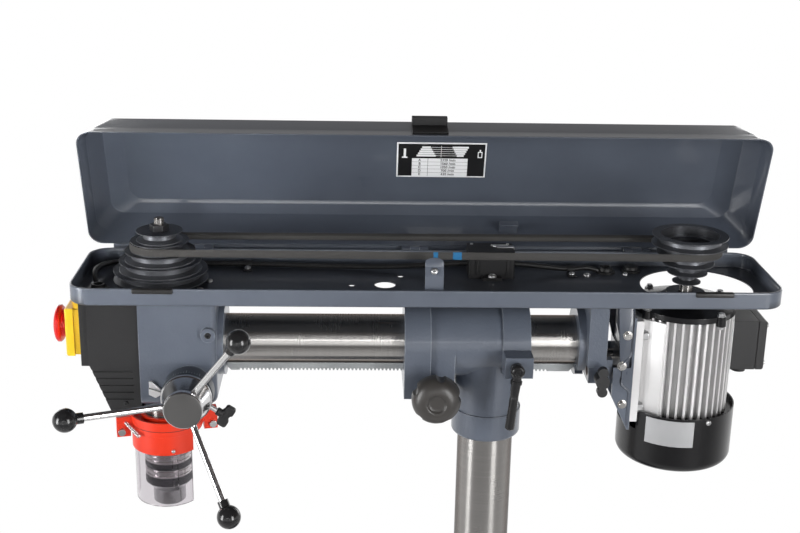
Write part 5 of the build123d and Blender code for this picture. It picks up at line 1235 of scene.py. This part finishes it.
def make_depth_wing():
    """Wing screw that locks the depth ring: a bright stem and a black wing with two lobes."""
    half = [(WING_NEAR, 5.0), (WING_NEAR + 1.4, 7.5), (WING_NEAR + 1.4, WING_HALF - 2)]
    half += [(WING_NEAR + 3.4, WING_HALF), (WING_FAR - 2, WING_HALF), (WING_FAR, WING_HALF - 2)]
    half += [(WING_FAR, 4.2), (WING_FAR - 2.4, 2.4)]
    outline = half + [(reach, -side) for reach, side in reversed(half)]
    way = (on_wing(1, 0, 0) - on_wing(0, 0, 0)).normalized()
    axis = frame_at(on_wing(0, 0, 0), way)
    boss = lathe([(0.0, 40.5), (4.4, 40.5), (5.0, 41.2), (5.0, 48.0), (0.0, 50.0)], axis, 24)
    wing = [soft_block(outline, -3.5, 3.5, 1.2, on_wing), boss]
    piece("depth_ring_wing", wing, "black_plastic", "depth_lock", "depth_lock_screw")
    stem = lathe([(0.0, 14.6), (2.6, 14.6), (3.0, 15.0), (3.0, 41.0), (0.0, 41.0)], axis, 24)
    piece("depth_ring_wing_stem", stem, "zinc", "depth_lock", "depth_lock_screw")


NOTCHES, NOTCH_R, NOTCH_FIRST = 5, 7.0, radians(81)


def notched(radius, angle):
    """The knob's radius at an angle, cut back softly by the finger notch that is nearest."""
    pitch = 2 * pi / NOTCHES
    off = (angle - NOTCH_FIRST + pitch / 2) % pitch - pitch / 2
    away = KNOB_R + NOTCH_R / 2
    side = away * sin(off)
    if abs(side) >= NOTCH_R:
        return radius
    return min(radius, away * cos(off) - (NOTCH_R**2 - side**2) ** 0.5)


def make_feed_knob():
    """Domed hand knob with finger notches and a dished middle."""
    profile = [(9.0, -19.4), (12.0, -18.8), (12.0, -0.6), (13.0, 0.0), (26.5, 0.0), (29.2, 1.2), (30.0, 3.4)]
    for k in range(13):
        a = radians(7.5 * k)
        profile.append((13.6 + 16.4 * cos(a), 9.0 + (KNOB_THICK - 9.0) * sin(a)))
    profile += [(12.2, 25.8), (11.0, 25.0), (10.4, 23.8), (9.6, 23.1), (6.0, 22.9)]
    rings = []
    for r, depth in profile:
        ring = []
        for a in even_angles(240):
            cut = notched(r, a) if depth >= 0 else r
            x, z = KNOB_PLACE[0] + cut * cos(a), KNOB_PLACE[1] + cut * sin(a)
            ring.append(at(x, -KNOB_NEAR - depth, z))
        rings.append(ring)
    piece("notched_hand_knob", ring_mesh(rings, False, 42), "knob_plastic", "ram_knob", "ram_feed_knob")


def make_guard_spring():
    """Close-wound spring between the guard's ear and its collar."""
    begin, end = at(-455, -17, -108), at(-433.5, -42, -117)
    axis = frame_at(begin, (end - begin).normalized())
    values = {"Coils": 22.0, "Radius": 0.0021, "Wire": 0.0005, "Length": (end - begin).length}
    values["Finish"] = LOOKS["chrome"]
    piece("guard_spring", shade(grow(SPRING, [begin], [], values, [axis], [1])), "chrome", "quill")


def make_guard_gap_shadow():
    """Black ring at the joint between the guard's collar and the band that turns under it: a painted shadow
    for the narrow gap between them.
    """
    lip, inner = COLLAR_R + 0.15, 42.0
    profile = [(inner, -0.9), (COLLAR_R - 0.5, -0.9), (lip, 0.1), (lip, 0.5), (inner, 0.5), (inner, -0.9)]
    joint = lathe(profile, frame_at(at(SPINDLE_X, 0, COLLAR_LOW), UP), 96)
    piece("guard_joint", joint, "black_plastic", "quill")


RIB_R, RIB_ANGLES, RIB_TOP, RIB_LOW = 41.9, (-75, -66), -146, -186


def make_visor_rib():
    """Thin moulded loop that stiffens the visor."""
    (left, right), steps = RIB_ANGLES, 8
    swells = [sin(pi * k / steps) for k in range(steps + 1)]
    turns = [left + (right - left) * (0.5 - 0.5 * cos(pi * k / steps)) for k in range(steps + 1)]
    line = [(a, RIB_TOP + 2.5 * swell) for a, swell in zip(turns, swells)]
    line += [(a, RIB_LOW - 2.5 * swell) for a, swell in zip(reversed(turns), swells)]
    points = [at(SPINDLE_X + RIB_R * cos(radians(a)), RIB_R * sin(radians(a)), z) for a, z in line]
    piece("visor_rib", round_wire(points, True, 0.5, "visor"), "visor", "guard")


make_levers()
make_depth_wing()
make_guard_gap_shadow()
make_visor_rib()
make_feed_knob()
make_guard_spring()


# Motor trim


def ring_place(angle, radius, z):
    return (MOTOR_X + radius * cos(radians(angle)), radius * sin(radians(angle)), z)


def make_rating_plate():
    """Blank plate bent round the fan cover."""
    corners = box_outline(FAN_COVER_R - 0.1, -115, FAN_COVER_R + 0.5, -81)
    turns = [-132.5 + 47.9 * k / 16 for k in range(17)]
    rows = [[at(*ring_place(a, r, z)) for r, z in corners] for a in turns]
    piece("blank_rating_plate", ring_mesh(rows, False), "blank_silver", "motor")


SHIELD_BOLTS = (-58.8, -148.8, 31.2, 121.2)


def make_shield_lugs():
    """Lugs round the upper end shield that take its long bolts."""
    profile = [(0.0, SHIELD_LOW), (5.6, SHIELD_LOW), (6.2, 39.1)]
    profile += [(6.2, 50.6), (5.6, SHIELD_TOP), (0.0, SHIELD_TOP)]
    feet = [Matrix.Translation(at(*ring_place(a, SHIELD_BOLT_R, 0))) for a in SHIELD_BOLTS]
    piece("shield_lugs", [lathe(profile, foot, 24) for foot in feet], "black_enamel", "motor")


def make_motor_webs():
    """Smooth webs that run from the motor's mounting pad into its ribs."""
    root, reach = PAD_RIGHT - 1, 208
    near = (FIN_TIP_R**2 - (MOTOR_X - reach) ** 2) ** 0.5
    outline = ((root, 37.5), (196, 44), (reach, near + 2.6), (reach + 3, near), (196, 32), (root, 30))
    sides = [[(x, side * y) for x, y in outline] for side in (-1, 1)]
    webs = [soft_block(side, PAD_BOTTOM, PAD_TOP - 0.3, 0.8) for side in sides]
    piece("motor_webs", webs, "motor_alloy", "motor")


# The bracket's front cheek and its rim, as (x, z).
CHEEK_CORNERS = (
    (152, 59), (170.6, 59), (171.4, 2), (170.2, -5), (166.5, -10), (161.5, -13), (160.3, -16.6),
    (158.0, -16.6),
)
RIM_LINE = (
    (170.6, 58), (171.4, 2), (170.4, -5), (166.8, -10), (162, -13), (160.4, -17), (160.2, -38), (161.5, -43),
    (165.5, -46.5), (169, -49), (170.8, -53), (171, -97),
)


def make_bracket_cheek():
    """Front cheek of the pressed motor bracket, with a turned rim that dips round the middle bolt."""
    cheek = soft_block(CHEEK_CORNERS, *CHEEK_FACE, 0.6, deep_in_y)
    # The cheek and its rim wear the darker slate copy, as painted shade.
    rim = round_wire([at(x, CHEEK_FACE[1], z) for x, z in RIM_LINE], False, 1.5, "slate_shaded")
    piece("bracket_cheek", [cheek, rim], "slate_shaded", "motor")


make_rating_plate()
make_bracket_cheek()
make_motor_webs()
make_shield_lugs()


# Fasteners


CLIP_SCREWS = [(x, y + side * CLIP_SCREW_REACH, FLOOR_TOP + CLIP_FOOT) for x, y, z, side in CLIPS]
FLOOR_SCREWS = [(126, 40, FLOOR_TOP), (-355, -24, FLOOR_TOP), (-347, 8, FLOOR_TOP)]
FLOOR_SCREWS += [(3.4, 20.0, FLOOR_TOP + 4), (176, 45, FLOOR_TOP)]
PLATE_BOLTS = [(x, -PAD_HALF, z) for x, z in ((165, 22.7), (160.5, -17.4), (164.2, -68.3))]
FLOOR_SIZES = [8, 8, 9.5, 8, 8, 10.5, 7]


def set_tray_screws():
    fasten("tray_floor_screws", "pan", seats(CLIP_SCREWS + FLOOR_SCREWS, UP), FLOOR_SIZES, "zinc", "arm")
    small = seats([(8, 49.5, 105.7), (-20, 62, 104.4), (26, 62, 104.4)], UP)
    fasten("interlock_screws", "pan", small, [5.5, 4, 4], "zinc", "arm")
    cover = seats([(-447, -45, 58), (-447, -45, -70)], FRONT)
    fasten("side_cover_screws", "pan", cover, 6.0, "black_plastic", "arm")
    tab = frame_at(on_tab(0, 6.0, 0.0), (0, -cos(TAB_LEAN), sin(TAB_LEAN)))
    fasten("catch_tab_screw", "pan", [tab], 8.5, "zinc", "arm")
    fasten("head_clamp_screw", "socket", seats([(-344, -52.5, 23)], FRONT), 7.2, "black_plastic", "arm")


def out_from(x, angle, radius, z):
    """A frame on an upright cylinder, facing out."""
    a = radians(angle)
    return frame_at(at(x + radius * cos(a), radius * sin(a), z), (cos(a), sin(a), 0))


def set_motor_screws():
    box_screws = [(345, y, z) for y in (-15, 39) for z in (-24, 26)]
    fasten("terminal_lid_screws", "pan", seats(box_screws, RIGHT), 6.5, "zinc", "motor")
    cover = [out_from(MOTOR_X, a, FAN_COVER_R, -83.2) for a in (-70, 20, 110, 200)]
    fasten("fan_cover_screws", "pan", cover, 7, "zinc", "motor")
    bolts = seats([ring_place(a, SHIELD_BOLT_R, SHIELD_TOP) for a in SHIELD_BOLTS], UP)
    nuts = seats([ring_place(a, SHIELD_BOLT_R, SHIELD_LOW) for a in SHIELD_BOLTS], (0, 0, -1))
    fasten("shield_bolts", "hex", bolts + nuts, 8.5, "zinc", "motor")
    fasten("motor_plate_bolts", "hex", seats(PLATE_BOLTS, FRONT), 9.5, "bright_steel", "motor")


def set_guard_screw():
    fasten("guard_band_screw", "pan", [out_from(SPINDLE_X, -73.1, BAND_R, -136.7)], 5, "zinc", "guard")


def set_depth_scale():
    """Print marks round the depth ring, with every fifth one longer."""
    frames, sizes, axis = [], [], Vector(FRONT)
    for k, a in enumerate(even_angles(60)):
        radial = Vector((cos(a), 0, sin(a)))
        turn = Matrix((axis.cross(radial), axis, radial)).transposed().to_4x4()
        size = 4.0 if k % 5 else 7.0
        place = at(FEED_X + RING_R * cos(a), -RING_FRONT + 2.0 + size / 2, FEED_Z + RING_R * sin(a))
        frames.append(Matrix.Translation(place) @ turn)
        sizes.append(size)
    fasten("depth_scale", "tick", frames, sizes, "grey_print", "depth")


set_tray_screws()
set_motor_screws()
set_guard_screw()
set_depth_scale()
for drawn_head in HEADS.values():
    bpy.data.objects.remove(drawn_head)


# Light, floor and backdrop


def area_light(name, place, target, size, power, spread, mirrored=True):
    """A softbox that faces a point; a narrow spread keeps its light off the floor."""
    data = bpy.data.lights.new(name, "AREA")
    data.spread = radians(spread)
    data.shape = "RECTANGLE"
    data.size, data.size_y = size
    data.energy = power
    made = drawing(name, data)
    aim = (Vector(target) - Vector(place)).to_track_quat("-Z", "Y").to_matrix().to_4x4()
    made.matrix_world = Matrix.Translation(place) @ aim
    made.visible_glossy = mirrored


area_light("left_key", (-2.05, -1.05, 0.82), (-0.1, 0.0, 0.72), (0.6, 1.4), 9.6, 90)
area_light("right_key", (1.25, -1.85, 0.95), (0.0, 0.0, 0.72), (0.7, 1.5), 9.6, 90)
area_light("lid_light", (-0.62, -1.55, 1.05), (-0.46, 0.1, 0.99), (0.25, 0.5), 0.42, 24, False)
area_light("front_strip", (-0.3, -2.75, 1.15), (-0.1, 0.0, 0.75), (2.6, 0.1), 1.4, 90)
area_light("rear_right_softbox", (1.7, 2.0, 1.0), (0.1, 0.05, 0.7), (1.4, 1.6), 7.5, 110)
area_light("rear_left_softbox", (-1.6, 2.1, 1.0), (-0.1, 0.05, 0.7), (1.4, 1.6), 7.5, 110)


def seen_rays(tree):
    """One for what the camera sees, also in metal and through the visor."""
    path = add(tree, "ShaderNodeLightPath").outputs
    return larger(larger(path["Is Camera Ray"], path["Is Transmission Ray"]), path["Is Glossy Ray"])


def make_world():
    """A dim studio that is paler behind the machine than in front of it, and white at the horizon."""
    world = bpy.data.worlds.new("studio")
    world.use_nodes = True
    tree = world.node_tree
    tree.nodes.clear()
    way = split(add(tree, "ShaderNodeTexCoord").outputs["Generated"])
    colour = mix(ramp(way["Y"], -0.3, 0.8), (0.06, 0.063, 0.07), (0.34, 0.34, 0.345))
    colour = mix(ramp(way["X"], 0.5, 0.9), colour, (0.13, 0.09, 0.072))
    colour = mix(ramp(way["Z"], 0.25, 0.8), colour, (0.06, 0.051, 0.05))
    colour = mix(times(ramp(way["Z"], 0.14, 0.06), seen_rays(tree)), colour, grey(1))
    studio = add(tree, "ShaderNodeBackground", {"Color": colour, "Strength": 1.0})
    linked(add(tree, "ShaderNodeOutputWorld"), Surface=studio.outputs[0])
    bpy.context.scene.world = world


def make_floor():
    """Pale floor that takes the shadow of the base and runs out to white behind and beside it."""
    half = 30.0
    square = [(x, y, 0) for x, y in box_outline(-half, -half, half, half)]
    mesh = mesh_from(square, [(0, 1, 2, 3)], False)
    material, tree, shader = start("pale_floor", Roughness=0.85, Base_Color=(0.88, 0.88, 0.88, 1))
    place = object_place(tree)
    away = add(tree, "ShaderNodeVectorMath", {0: place}, operation="LENGTH").outputs["Value"]
    far = larger(ramp(split(place)["Y"], -0.9, 0.55), ramp(away, 1.8, 3.4))
    white = add(tree, "ShaderNodeEmission", {"Color": (1, 1, 1, 1), "Strength": 1.0})
    mesh.materials.append(faded(material, times(seen_rays(tree), far), white))
    drawing("floor", mesh)


make_world()
make_floor()
bpy.context.scene.view_settings.view_transform = "Standard"
